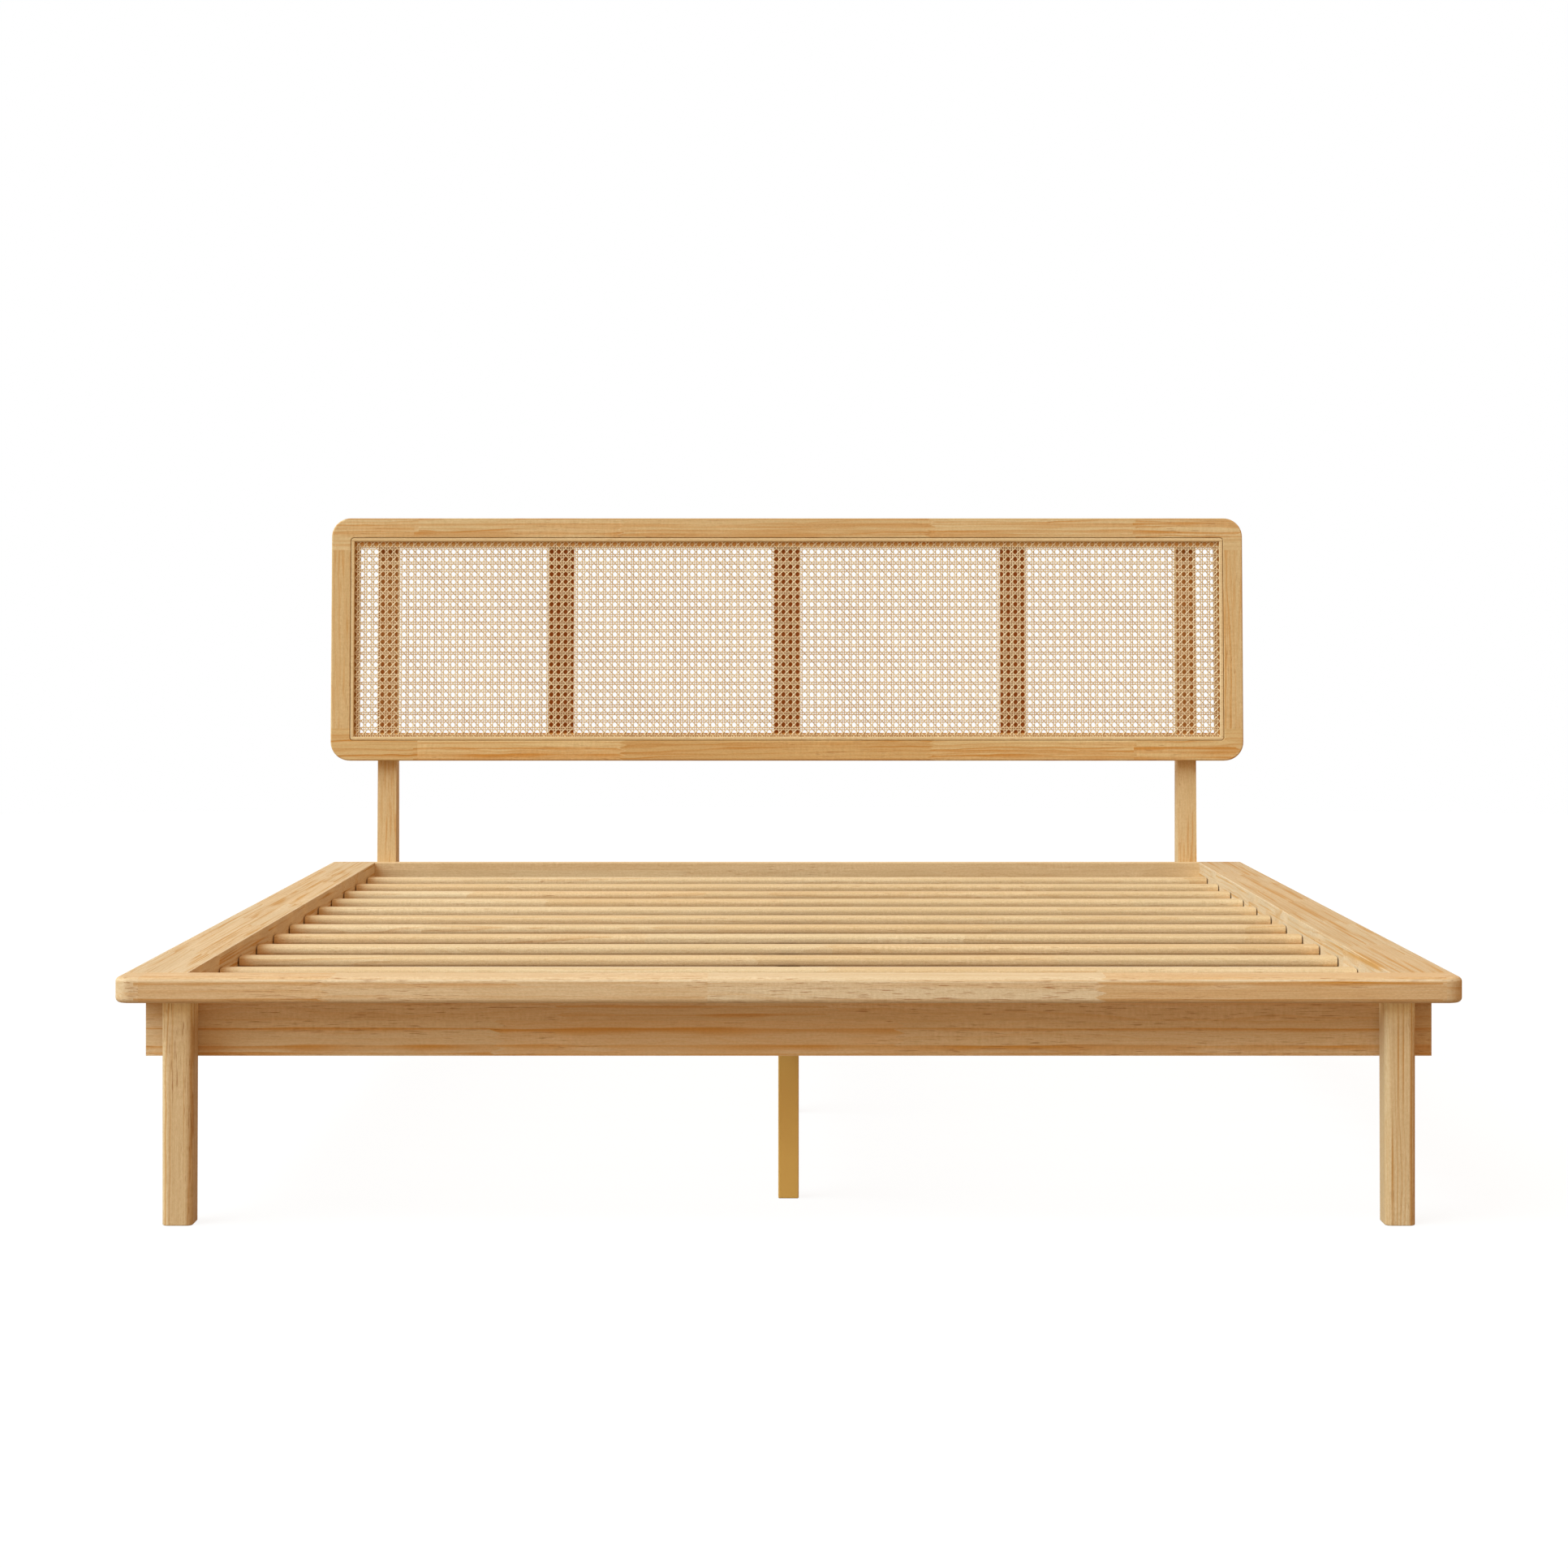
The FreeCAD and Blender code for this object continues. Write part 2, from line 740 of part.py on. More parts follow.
def long_bead(low):
    """A bead along the whole width, with rounded outer corners and eased front edges."""
    half = headboard_half - rabbet_side_margin - bead_groove
    return box(-half, half, bead_front, cane_front, low, low + bead_width)


def bottom_bead():
    low = headboard_bottom + rabbet_bottom_margin + bead_groove
    bead = rounded(long_bead(low), rabbet_corner_radius - bead_groove,
                   lambda e: is_crosswise(e) and e.BoundBox.ZMax < low + tolerance)
    return leaned(rounded(bead, bead_radius, is_bead_face_line))


def top_bead():
    high = headboard_top - rabbet_top_margin - bead_groove
    bead = rounded(long_bead(high - bead_width), rabbet_corner_radius - bead_groove,
                   lambda e: is_crosswise(e) and e.BoundBox.ZMin > high - tolerance)
    return leaned(rounded(bead, bead_radius, is_bead_face_line))


def side_bead(side):
    outer = headboard_half - rabbet_side_margin - bead_groove
    low = headboard_bottom + rabbet_bottom_margin + bead_groove + bead_width
    high = headboard_top - rabbet_top_margin - bead_groove - bead_width
    bead = box(outer - bead_width, outer, bead_front, cane_front, low, high)
    bead = rounded(bead, bead_radius, lambda e: is_upright(e) and is_bead_face_line(e))
    return leaned(sided(bead, side))


# Headboard posts
def headboard_post(side):
    """A post with an upright back, whose front leans with the headboard above the platform."""
    lean_run = (post_top - deck_top) * math.tan(math.radians(headboard_lean))
    outline = [point(post_inner, rear, apron_bottom), point(post_inner, back, apron_bottom),
               point(post_inner, back, post_top), point(post_inner, rear + lean_run, post_top),
               point(post_inner, rear, deck_top)]
    post = extruded_outline(outline, X_AXIS * post_width)
    post = rounded(post, post_edge_radius, lambda e: is_upright(e) and e.BoundBox.YMin > back - tolerance)
    counterbores = [rod(post_counterbore_radius, seat, Y_AXIS, post_counterbore_depth + overrun)
                    for seat, grip in post_bolt_places()]
    screws = [leaned(frame_screw_hole(place)) for place in frame_screw_places()]
    return cut_all(sided(post, side), bolt_holes(post_bolt_places()) + counterbores + screws)


# All pieces by name
def build_pieces():
    pieces = {"front_rail": front_rail(), "rear_rail": rear_rail(), "front_apron": front_apron()}
    for side in SIDES:
        pieces["side_rail_" + side] = side_rail(side)
        pieces["side_apron_" + side] = side_apron(side)
        pieces["front_leg_" + side] = front_leg(side)
        pieces["rear_leg_" + side] = rear_leg(side)
        pieces["slat_cleat_" + side] = slat_cleat(side)
        pieces["corner_bracket_" + side] = corner_bracket(side)
        pieces["headboard_post_" + side] = headboard_post(side)
    for index in range(slat_count):
        pieces["slat_%02d" % (index + 1)] = slat(index)
    pieces["center_beam"] = center_beam()
    for place, middle in center_leg_middles().items():
        pieces["center_leg_" + place] = center_leg(middle)
    pieces["beam_hanger_front"] = beam_hanger(apron_back, 1)
    pieces["beam_hanger_rear"] = beam_hanger(rear_rail_front, -1)
    pieces.update(headboard_frame())
    for name, across in (("left", -batten_offset), ("center", 0), ("right", batten_offset)):
        pieces["headboard_batten_" + name] = batten(across)
    pieces["cane_panel"] = cane_panel()
    pieces["cane_bead_bottom"] = bottom_bead()
    pieces["cane_bead_top"] = top_bead()
    pieces["cane_bead_left"] = side_bead("left")
    pieces["cane_bead_right"] = side_bead("right")
    return pieces


def build_fasteners():
    bolts = leg_bolt_places() + post_bolt_places()
    cleat_screws = cleat_screw_places("left") + cleat_screw_places("right")
    return {
        "leg_bolts": [bolt(seat, grip) for seat, grip in leg_bolt_places()],
        "post_bolts": [bolt(seat, grip) for seat, grip in post_bolt_places()],
        "bolt_washers": [washer(seat) for seat, grip in bolts],
        "bolt_inserts": [threaded_insert(seat, grip) for seat, grip in bolts],
        "center_leg_studs": [rod(stud_radius, place - Z_AXIS * stud_depth, Z_AXIS, stud_depth * 2)
                             for place in stud_places()],
        "slat_screws": [countersunk_screw(place, Z_AXIS, slat_screw_length)
                        for place in all_slat_screw_places()],
        "cleat_screws": [countersunk_screw(place, direction, cleat_screw_length)
                         for place, direction in cleat_screws],
        "apron_screws": [countersunk_screw(place, -Y_AXIS, apron_screw_length)
                         for place in apron_screw_places()],
        "bracket_screws": [pan_screw(place, direction, bracket_screw_length)
                           for place, direction in metal_screw_places()],
        "headboard_screws": [frame_screw(place) for place in frame_screw_places()],
        "rail_dowels": [dowel(middle, direction) for middle, direction in rail_dowel_places()],
        "headboard_dowels": [leaned(dowel(middle, Z_AXIS)) for middle in headboard_dowel_places()],
    }


def main():
    os.makedirs("parts", exist_ok=True)
    for name, shape in build_pieces().items():
        shape.exportStep("parts/" + name + ".step")
    for name, solids in build_fasteners().items():
        Part.makeCompound(solids).exportStep("parts/" + name + ".step")


main()
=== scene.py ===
import math
import random

import bpy
import numpy as np
from mathutils import Matrix, Vector


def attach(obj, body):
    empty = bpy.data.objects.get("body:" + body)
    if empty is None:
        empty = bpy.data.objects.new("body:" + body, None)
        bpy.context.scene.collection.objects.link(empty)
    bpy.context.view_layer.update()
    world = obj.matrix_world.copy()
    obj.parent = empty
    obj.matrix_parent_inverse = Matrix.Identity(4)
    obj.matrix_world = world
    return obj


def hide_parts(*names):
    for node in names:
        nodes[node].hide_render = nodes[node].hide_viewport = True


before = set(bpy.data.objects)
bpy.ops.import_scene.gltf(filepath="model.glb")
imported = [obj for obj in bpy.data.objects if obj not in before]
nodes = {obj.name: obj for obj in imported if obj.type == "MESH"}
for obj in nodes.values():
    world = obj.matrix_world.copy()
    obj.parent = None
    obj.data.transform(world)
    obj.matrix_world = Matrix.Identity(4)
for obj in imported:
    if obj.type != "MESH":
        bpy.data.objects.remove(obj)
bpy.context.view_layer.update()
scene = bpy.context.scene

# Sizes of the bed that the materials and the woven cane need, in metres
HALF_WIDTH = 0.857
DECK_TOP = 0.320
REAR = 1.041
LEAN = math.radians(3)
HEADBOARD_BOTTOM = 0.510
HEADBOARD_HEIGHT = 0.456
HEADBOARD_THICKNESS = 0.028
RABBET_DEPTH = 0.008
# From the headboard's outline to the inner edges of the beads, and how far the cane reaches under them
BEAD_INNER_SIDE = 0.0432
BEAD_INNER_TOP = 0.0437
BEAD_INNER_BOTTOM = 0.0447
UNDER_BEAD = 0.0045


# Shader nodes
class Tree:
    """A short way to add and join shader nodes."""

    def __init__(self, tree):
        self.tree = tree

    def add(self, kind, inputs=None, **settings):
        node = self.tree.nodes.new(kind)
        for key, value in settings.items():
            setattr(node, key, value)
        for key, value in (inputs or {}).items():
            self.feed(node.inputs[key], value)
        return node

    def feed(self, socket, value):
        """Links another node's output to a socket, or sets the socket to a plain value."""
        if isinstance(value, bpy.types.NodeSocket):
            self.tree.links.new(value, socket)
        else:
            socket.default_value = value

    def math(self, operation, *values):
        node = self.tree.nodes.new("ShaderNodeMath")
        node.operation = operation
        for socket, value in zip(node.inputs, values):
            self.feed(socket, value)
        return node.outputs[0]

    def plus(self, first, *others):
        for other in others:
            first = self.math("ADD", first, other)
        return first

    def minus(self, first, second):
        return self.math("SUBTRACT", first, second)

    def times(self, first, *others):
        for other in others:
            first = self.math("MULTIPLY", first, other)
        return first

    def ramp(self, value, low, high, to_low=0.0, to_high=1.0):
        """Maps low..high to to_low..to_high, smoothly and clamped."""
        node = self.add("ShaderNodeMapRange", {0: value, 1: low, 2: high, 3: to_low, 4: to_high},
                        interpolation_type="SMOOTHSTEP")
        return node.outputs[0]

    def mix(self, factor, first, second, blend="MIX"):
        """Mixes two colours."""
        node = self.add("ShaderNodeMix", {"Factor": factor}, data_type="RGBA", blend_type=blend)
        self.feed(node.inputs[6], first)
        self.feed(node.inputs[7], second)
        return node.outputs[2]

    def blend(self, factor, first, second):
        """Mixes two numbers."""
        node = self.add("ShaderNodeMix", {"Factor": factor}, data_type="FLOAT")
        self.feed(node.inputs[2], first)
        self.feed(node.inputs[3], second)
        return node.outputs[0]

    def vector(self, x, y, z):
        return self.add("ShaderNodeCombineXYZ", {0: x, 1: y, 2: z}).outputs[0]

    def split(self, vector):
        return self.add("ShaderNodeSeparateXYZ", {0: vector}).outputs

    def scaled(self, vector, factors):
        return self.add("ShaderNodeVectorMath", {0: vector, 1: factors}, operation="MULTIPLY").outputs[0]

    def noise(self, place, scale, detail=2.0, roughness=0.5):
        """Noise at a place, after scaling that by a factor for each axis."""
        node = self.add("ShaderNodeTexNoise", {"Vector": self.scaled(place, scale), "Scale": 1.0,
                                               "Detail": detail, "Roughness": roughness})
        return node.outputs[0]

    def object_place(self):
        return self.add("ShaderNodeTexCoord").outputs["Object"]

    def seen_directly(self):
        """1 for rays from the camera, mirrors and glass, which see the plain white surroundings."""
        rays = self.add("ShaderNodeLightPath").outputs
        return self.math("MAXIMUM", rays["Is Camera Ray"],
                         self.math("MAXIMUM", rays["Is Glossy Ray"], rays["Is Transmission Ray"]))


def new_material(name):
    material = bpy.data.materials.new(name)
    material.use_nodes = True
    material.node_tree.nodes.clear()
    return material, Tree(material.node_tree)


def close_material(t, shader):
    t.feed(t.add("ShaderNodeOutputMaterial").inputs[0], shader.outputs[0])


def new_group(name, floats, colors, outputs):
    group = bpy.data.node_groups.new(name, "ShaderNodeTree")
    for socket in floats:
        group.interface.new_socket(socket, in_out="INPUT", socket_type="NodeSocketFloat")
    for socket in colors:
        group.interface.new_socket(socket, in_out="INPUT", socket_type="NodeSocketColor")
    for socket, kind in outputs:
        group.interface.new_socket(socket, in_out="OUTPUT", socket_type=kind)
    t = Tree(group)
    return group, t, t.add("NodeGroupInput").outputs


# How finely each pattern in the wood varies along, across and through a board, per metre
SWAY_SCALE = (2.6, 13.0, 13.0)
WAVE_SCALE = (13.0, 55.0, 55.0)
FADE_SCALE = (3.0, 30.0, 30.0)
FIBRE_SCALE = (16.0, 760.0, 760.0)
MOTTLE_SCALE = (230.0, 430.0, 430.0)
PATCH_SCALE = (3.4, 20.0, 20.0)
SHIMMER_SCALE = (250.0, 80.0, 80.0)
PIT_SCALE = (38.0, 720.0, 720.0)
# How far apart in the trunk the blocks can lie, in metres
TRUNK = (31.0, 17.0, 23.0)
STEEPEST_TILT = 0.020
# How many rings the slow sway and the quick wave push a ring aside
SWAY_RINGS = 3.4
WAVE_RINGS = 0.9
# Parts of a ring where its late wood starts, is full, starts to end and has ended
LATE_START, LATE_FULL, LATE_END, LATE_GONE = 0.40, 0.90, 0.91, 0.985
FAINTEST_RING = 0.20
# Thin lines are strong where the rings are weak: their strength is the base less the rings' fade
THIN_LINES_PER_RING = 3.7
THIN_WAVE = 2.0
THIN_BASE = 1.2
THIN_STRENGTH = 0.20
# The values at which a pattern's effect starts and is full and, with four numbers, the effect at both
FADE_RAMP = (0.38, 0.60, 0.35, 1.0)
THIN_RAMP = (0.30, 0.50)
SHIMMER_RAMP = (0.44, 0.60)
PIT_RAMP = (0.65, 0.75)
PIT_PATCH_RAMP = (0.48, 0.60, 0.08, 1.0)
PIT_PATCH_GAIN = 2.0
# The share of each pattern in the shade, and the power of the shade in red, green and blue
FIBRE_SHADE, MOTTLE_SHADE, PATCH_SHADE, SHIMMER_SHADE, BASE_SHADE = 0.28, 0.30, 0.24, 0.22, 0.59
WARMTH = (0.8, 1.1, 1.6)
PINK_TINT = (0.965, 0.865, 0.760, 1)
PIT_COLOR = (0.360, 0.135, 0.038, 1)
PIT_STRENGTH = 0.62
# The share of each pattern in the relief and in the roughness
FIBRE_RELIEF, MOTTLE_RELIEF, PIT_RELIEF, LATE_RELIEF = 0.6, 1.2, 0.8, 0.25
FIBRE_ROUGH, LATE_ROUGH, BASE_ROUGH = 0.16, -0.06, 0.50


def pine_group():
    """Pine grain, shared by all boards. Along, Across and Depth are metres in the board."""
    group, t, given = new_group(
        "pine_grain",
        ("Along", "Across", "Depth", "Seed", "Tone", "Figure", "Pink", "Streak", "Rings", "Pits"),
        ("Light", "Dark"),
        (("Color", "NodeSocketColor"), ("Height", "NodeSocketFloat"), ("Roughness", "NodeSocketFloat")))
    # Every stave and block is cut from its own place in its own trunk
    chance = t.add("ShaderNodeTexWhiteNoise", {"W": given["Seed"]}, noise_dimensions="1D").outputs["Color"]
    picks = t.add("ShaderNodeSeparateColor", {0: chance}).outputs
    shift = t.scaled(chance, TRUNK)
    here = t.vector(given["Along"], given["Across"], given["Depth"])
    here = t.add("ShaderNodeVectorMath", {0: here, 1: shift}, operation="ADD").outputs[0]
    # Growth rings cross the board on a slant, run slightly off its length and wander
    sway = t.noise(here, SWAY_SCALE, detail=1.0)
    wave = t.noise(here, WAVE_SCALE, detail=1.0)
    slant = t.ramp(picks[0], 0.0, 1.0, -1.0, 1.0)
    tilt = t.times(given["Along"], t.ramp(picks[1], 0.0, 1.0, -STEEPEST_TILT, STEEPEST_TILT))
    place = t.plus(given["Across"], t.times(given["Depth"], slant))
    ring = t.times(t.plus(place, tilt), given["Rings"])
    ring = t.plus(ring, t.times(sway, SWAY_RINGS))
    ring = t.plus(ring, t.times(wave, WAVE_RINGS))
    part = t.math("FRACT", ring)
    number = t.plus(t.math("FLOOR", ring), given["Seed"])
    strength = t.add("ShaderNodeTexWhiteNoise", {"W": number}, noise_dimensions="1D").outputs["Value"]
    fade = t.ramp(t.noise(here, FADE_SCALE), *FADE_RAMP)
    # Late wood darkens slowly and ends sharply; the early wood has faint thin lines
    late = t.times(t.ramp(part, LATE_START, LATE_FULL), t.ramp(part, LATE_END, LATE_GONE, 1.0, 0.0))
    late = t.times(late, t.ramp(strength, 0.0, 1.0, FAINTEST_RING, 1.0), fade, given["Figure"])
    thin = t.plus(t.times(ring, THIN_LINES_PER_RING), t.times(wave, THIN_WAVE))
    thin = t.math("PINGPONG", thin, 0.5)
    thin = t.times(t.ramp(thin, *THIN_RAMP), t.minus(THIN_BASE, fade))
    # Fine fibres, a mottle, broad patches, a shimmer across the grain, and short resin pits
    fibre = t.noise(here, FIBRE_SCALE, roughness=0.6)
    mottle = t.noise(here, MOTTLE_SCALE, roughness=0.6)
    patch = t.noise(here, PATCH_SCALE)
    shimmer = t.noise(here, SHIMMER_SCALE, detail=1.0)
    shimmer = t.times(t.minus(shimmer, 0.5), t.ramp(patch, *SHIMMER_RAMP))
    pit = t.plus(t.noise(here, PIT_SCALE, detail=1.0), given["Pits"])
    often = t.plus(patch, t.times(given["Pits"], PIT_PATCH_GAIN))
    pit = t.times(t.ramp(pit, *PIT_RAMP), t.ramp(often, *PIT_PATCH_RAMP))
    # Colour: from light to dark wood by the rings, then shaded, then pitted
    pink = t.mix(1.0, given["Light"], PINK_TINT, "MULTIPLY")
    color = t.mix(given["Pink"], given["Light"], pink)
    color = t.mix(t.times(thin, THIN_STRENGTH), color, given["Dark"])
    color = t.mix(t.math("MAXIMUM", late, given["Streak"]), color, given["Dark"])
    fine = t.plus(t.times(fibre, FIBRE_SHADE), t.times(mottle, MOTTLE_SHADE))
    broad = t.plus(t.times(patch, PATCH_SHADE), t.times(shimmer, SHIMMER_SHADE))
    shade = t.times(t.plus(fine, broad, BASE_SHADE), given["Tone"])
    warm = t.vector(*(t.math("POWER", shade, power) for power in WARMTH))
    color = t.mix(1.0, color, warm, "MULTIPLY")
    color = t.mix(t.times(pit, PIT_STRENGTH), color, PIT_COLOR)
    height = t.plus(t.times(fibre, FIBRE_RELIEF), t.times(mottle, MOTTLE_RELIEF))
    height = t.minus(height, t.times(pit, PIT_RELIEF))
    height = t.minus(height, t.times(late, LATE_RELIEF))
    rough = t.plus(t.times(fibre, FIBRE_ROUGH), t.times(late, LATE_ROUGH))
    rough = t.plus(rough, BASE_ROUGH)
    out = t.add("NodeGroupOutput").inputs
    for name, value in (("Color", color), ("Height", height), ("Roughness", rough)):
        t.feed(out[name], value)
    return group


# How finely a streak drifts, ripples, swells and varies along a board, per metre, and from streak to streak
DRIFT_SCALE = (5.0, 1.0, 9.0)
RIPPLE_SCALE = (34.0, 1.0, 9.0)
SWELL_SCALE = (9.0, 2.0, 7.0)
VARY_SCALE = (6.0, 3.0, 5.0)
STREAK_SPREAD = 97.0
# The noise between its least and its most effect, and those effects on the width and on the strength
SWELL_RAMP = (0.3, 0.7, 0.45, 1.55)
VARY_RAMP = (0.35, 0.65, 0.55, 1.0)
RIPPLE_SHARE = 0.22
# Across a streak, in widths: where it starts, is full and has ended
STREAK_FOOT, STREAK_CREST, STREAK_EDGE = -1.6, 0.1, 0.55


def streak_group():
    """One amber streak that runs along a board: its mask, full at its upper edge and faint below."""
    group, t, given = new_group(
        "amber_streak", ("Jag", "Along", "Across", "Centre", "Width", "Wander", "Start", "End", "Strength"),
        (), (("Mask", "NodeSocketFloat"),))
    line = t.vector(given["Along"], t.times(given["Centre"], STREAK_SPREAD), given["Start"])
    drift = t.minus(t.noise(line, DRIFT_SCALE, detail=1.0), 0.5)
    ripple = t.minus(t.noise(line, RIPPLE_SCALE, detail=1.0), 0.5)
    drift = t.times(t.plus(drift, t.times(ripple, RIPPLE_SHARE)), given["Wander"])
    swell = t.noise(line, SWELL_SCALE, detail=1.0)
    width = t.times(given["Width"], t.ramp(swell, *SWELL_RAMP))
    offset = t.minus(t.minus(given["Across"], given["Centre"]), drift)
    offset = t.math("DIVIDE", offset, width)
    mask = t.times(t.ramp(offset, STREAK_FOOT, STREAK_CREST),
                   t.ramp(offset, STREAK_CREST, STREAK_EDGE, 1.0, 0.0))
    inside = t.times(t.math("GREATER_THAN", given["Jag"], given["Start"]),
                     t.math("LESS_THAN", given["Jag"], given["End"]))
    vary = t.ramp(t.noise(line, VARY_SCALE, detail=1.0), *VARY_RAMP)
    mask = t.times(t.times(mask, inside), t.times(vary, given["Strength"]))
    t.feed(t.add("NodeGroupOutput").inputs["Mask"], mask)
    return group


PINE = pine_group()
STREAK = streak_group()

# Light and dark wood of the frame and of the headboard, then of single boards
FRAME_LIGHT, FRAME_DARK = (0.672, 0.488, 0.287, 1), (0.492, 0.226, 0.061, 1)
BOARD_LIGHT, BOARD_DARK = (0.697, 0.484, 0.234, 1), (0.590, 0.283, 0.074, 1)
FRONT_LIGHT, FRONT_DARK = (0.690, 0.520, 0.324, 1), (0.560, 0.255, 0.057, 1)
APRON_LIGHT, APRON_DARK = (0.745, 0.540, 0.315, 1), (0.640, 0.300, 0.072, 1)
LEG_LIGHT, LEG_DARK = (0.715, 0.530, 0.310, 1), (0.530, 0.250, 0.060, 1)
# The centre beam's dark brown is painted shade: it darkens the gaps under the slats
BEAM_SHADE_LIGHT, BEAM_SHADE_DARK = (0.123, 0.061, 0.029, 1), (0.070, 0.033, 0.015, 1)
SIDE_LIGHT = {"left": (0.668, 0.508, 0.320, 1), "right": (0.603, 0.447, 0.271, 1)}
SIDE_DARK = (0.525, 0.271, 0.078, 1)
REAR_LIGHT = (0.725, 0.545, 0.324, 1)
SLAT_LIGHT = (0.717, 0.541, 0.324, 1)
POST_LIGHT = (0.722, 0.525, 0.286, 1)
STILE_LIGHT = (0.697, 0.504, 0.267, 1)
TOP_RAIL_LIGHT = (0.697, 0.510, 0.272, 1)
RAIL_STREAK = (0.560, 0.240, 0.050, 1)
BEAD_LIGHT = (0.681, 0.484, 0.254, 1)
# Painted shade of the cane on the front faces behind it: colours that multiply them
LEDGE_CANE_SHADE = (0.92, 0.70, 0.48, 1)
POST_CANE_SHADE = (0.80, 0.49, 0.27, 1)
STILE_CANE_SHADE = (0.66, 0.42, 0.24, 1)
BATTEN_CANE_SHADE = (0.64, 0.28, 0.13, 1)

# Where a colour ramp of blocks starts along a board, how much it covers, and the largest tone in it
RAMP_START = -1.2
RAMP_SPAN = 2.4
TONE_SPAN = 2.0
SEED_SPREAD = 61.7
# Finger joints: the width of a finger and its slope, and how far a straight joint reaches to each side
FINGER = 0.010
FINGER_SLOPE = 3.0
BUTT_REACH = 0.03
# The upper edge of a board's last stave, which lies beyond every board
ANY_EDGE = 2.0
# Long amber lines, and where along them they show
LINE_SHIFT = 40.0
LINE_SCALE = (1.3, 230.0, 230.0)
LINE_RAMP = (0.50, 0.62)
LINE_GATE_SCALE = (4.0, 50.0, 50.0)
LINE_GATE_RAMP = (0.35, 0.60)
# How squarely a face lies across the grain, and how much it then loses of the short resin marks
END_FACE_RAMP = (0.25, 0.75, 0.0, 0.4)
# Orange peel in the lacquer
PEEL_SCALE = (640.0, 640.0, 640.0)
PEEL_RANGE = (0.36, 0.64)
PEEL_LIGHT, PEEL_RELIEF = 0.6, 0.8
WOOD_RELIEF, WOOD_RELIEF_DEPTH = 0.5, 0.0005
WOOD_SHINE = 0.02
# Painted light: the heights where a leg starts to grow paler and is palest, just under the rails, against the
# shade of their overhang, its colours there, and the gain on both
PAINTED_LIGHT_FROM, PAINTED_LIGHT_TO = 0.245, 0.284
LEG_PAINTED_LIGHT_LOW, LEG_PAINTED_LIGHT_HIGH = (0.70, 0.70, 0.70, 1), (0.90, 0.98, 1.0, 1)
PAINTED_LIGHT_GAIN = (1.43, 1.43, 1.43)
# Normals of front faces point further to -Y than this
FACES_FRONT = -0.9
RABBET_SLACK = 0.001


def constant_ramp(t, value, stops):
    """Picks (tone, seed, figure, pink) by the position along a board, from stops that start with a place."""
    node = t.add("ShaderNodeValToRGB", {0: value})
    ramp = node.color_ramp
    ramp.interpolation = "CONSTANT"
    for index, (start, tone, seed, figure, pink) in enumerate(stops):
        place = min(max((start - RAMP_START) / RAMP_SPAN, 0.0), 1.0)
        element = ramp.elements[index] if index < 2 else ramp.elements.new(place)
        element.position = place
        element.color = (tone / TONE_SPAN, seed, figure, pink)
    if len(stops) == 1:
        ramp.elements.remove(ramp.elements[1])
    parts = t.add("ShaderNodeSeparateColor", {0: node.outputs[0]}).outputs
    return parts[0], parts[1], parts[2], node.outputs[1]


def behind_cane(t, axes):
    """1 on the front faces that the cane covers, where its shade is painted, found by undoing the headboard's
    lean.
    """
    back = t.minus(axes[1], REAR)
    up = t.minus(axes[2], DECK_TOP)
    depth = t.minus(t.times(back, math.cos(LEAN)), t.times(up, math.sin(LEAN)))
    height = t.plus(t.times(back, math.sin(LEAN)), t.times(up, math.cos(LEAN)))
    facing = t.split(t.add("ShaderNodeNewGeometry").outputs["True Normal"])
    lowest = HEADBOARD_BOTTOM - DECK_TOP + BEAD_INNER_BOTTOM - UNDER_BEAD
    highest = HEADBOARD_BOTTOM - DECK_TOP + HEADBOARD_HEIGHT - BEAD_INNER_TOP + UNDER_BEAD
    mask = t.times(t.math("LESS_THAN", facing[1], FACES_FRONT),
                   t.math("GREATER_THAN", depth, RABBET_DEPTH - HEADBOARD_THICKNESS - RABBET_SLACK))
    mask = t.times(mask, t.math("GREATER_THAN", height, lowest))
    return t.times(mask, t.math("LESS_THAN", height, highest))


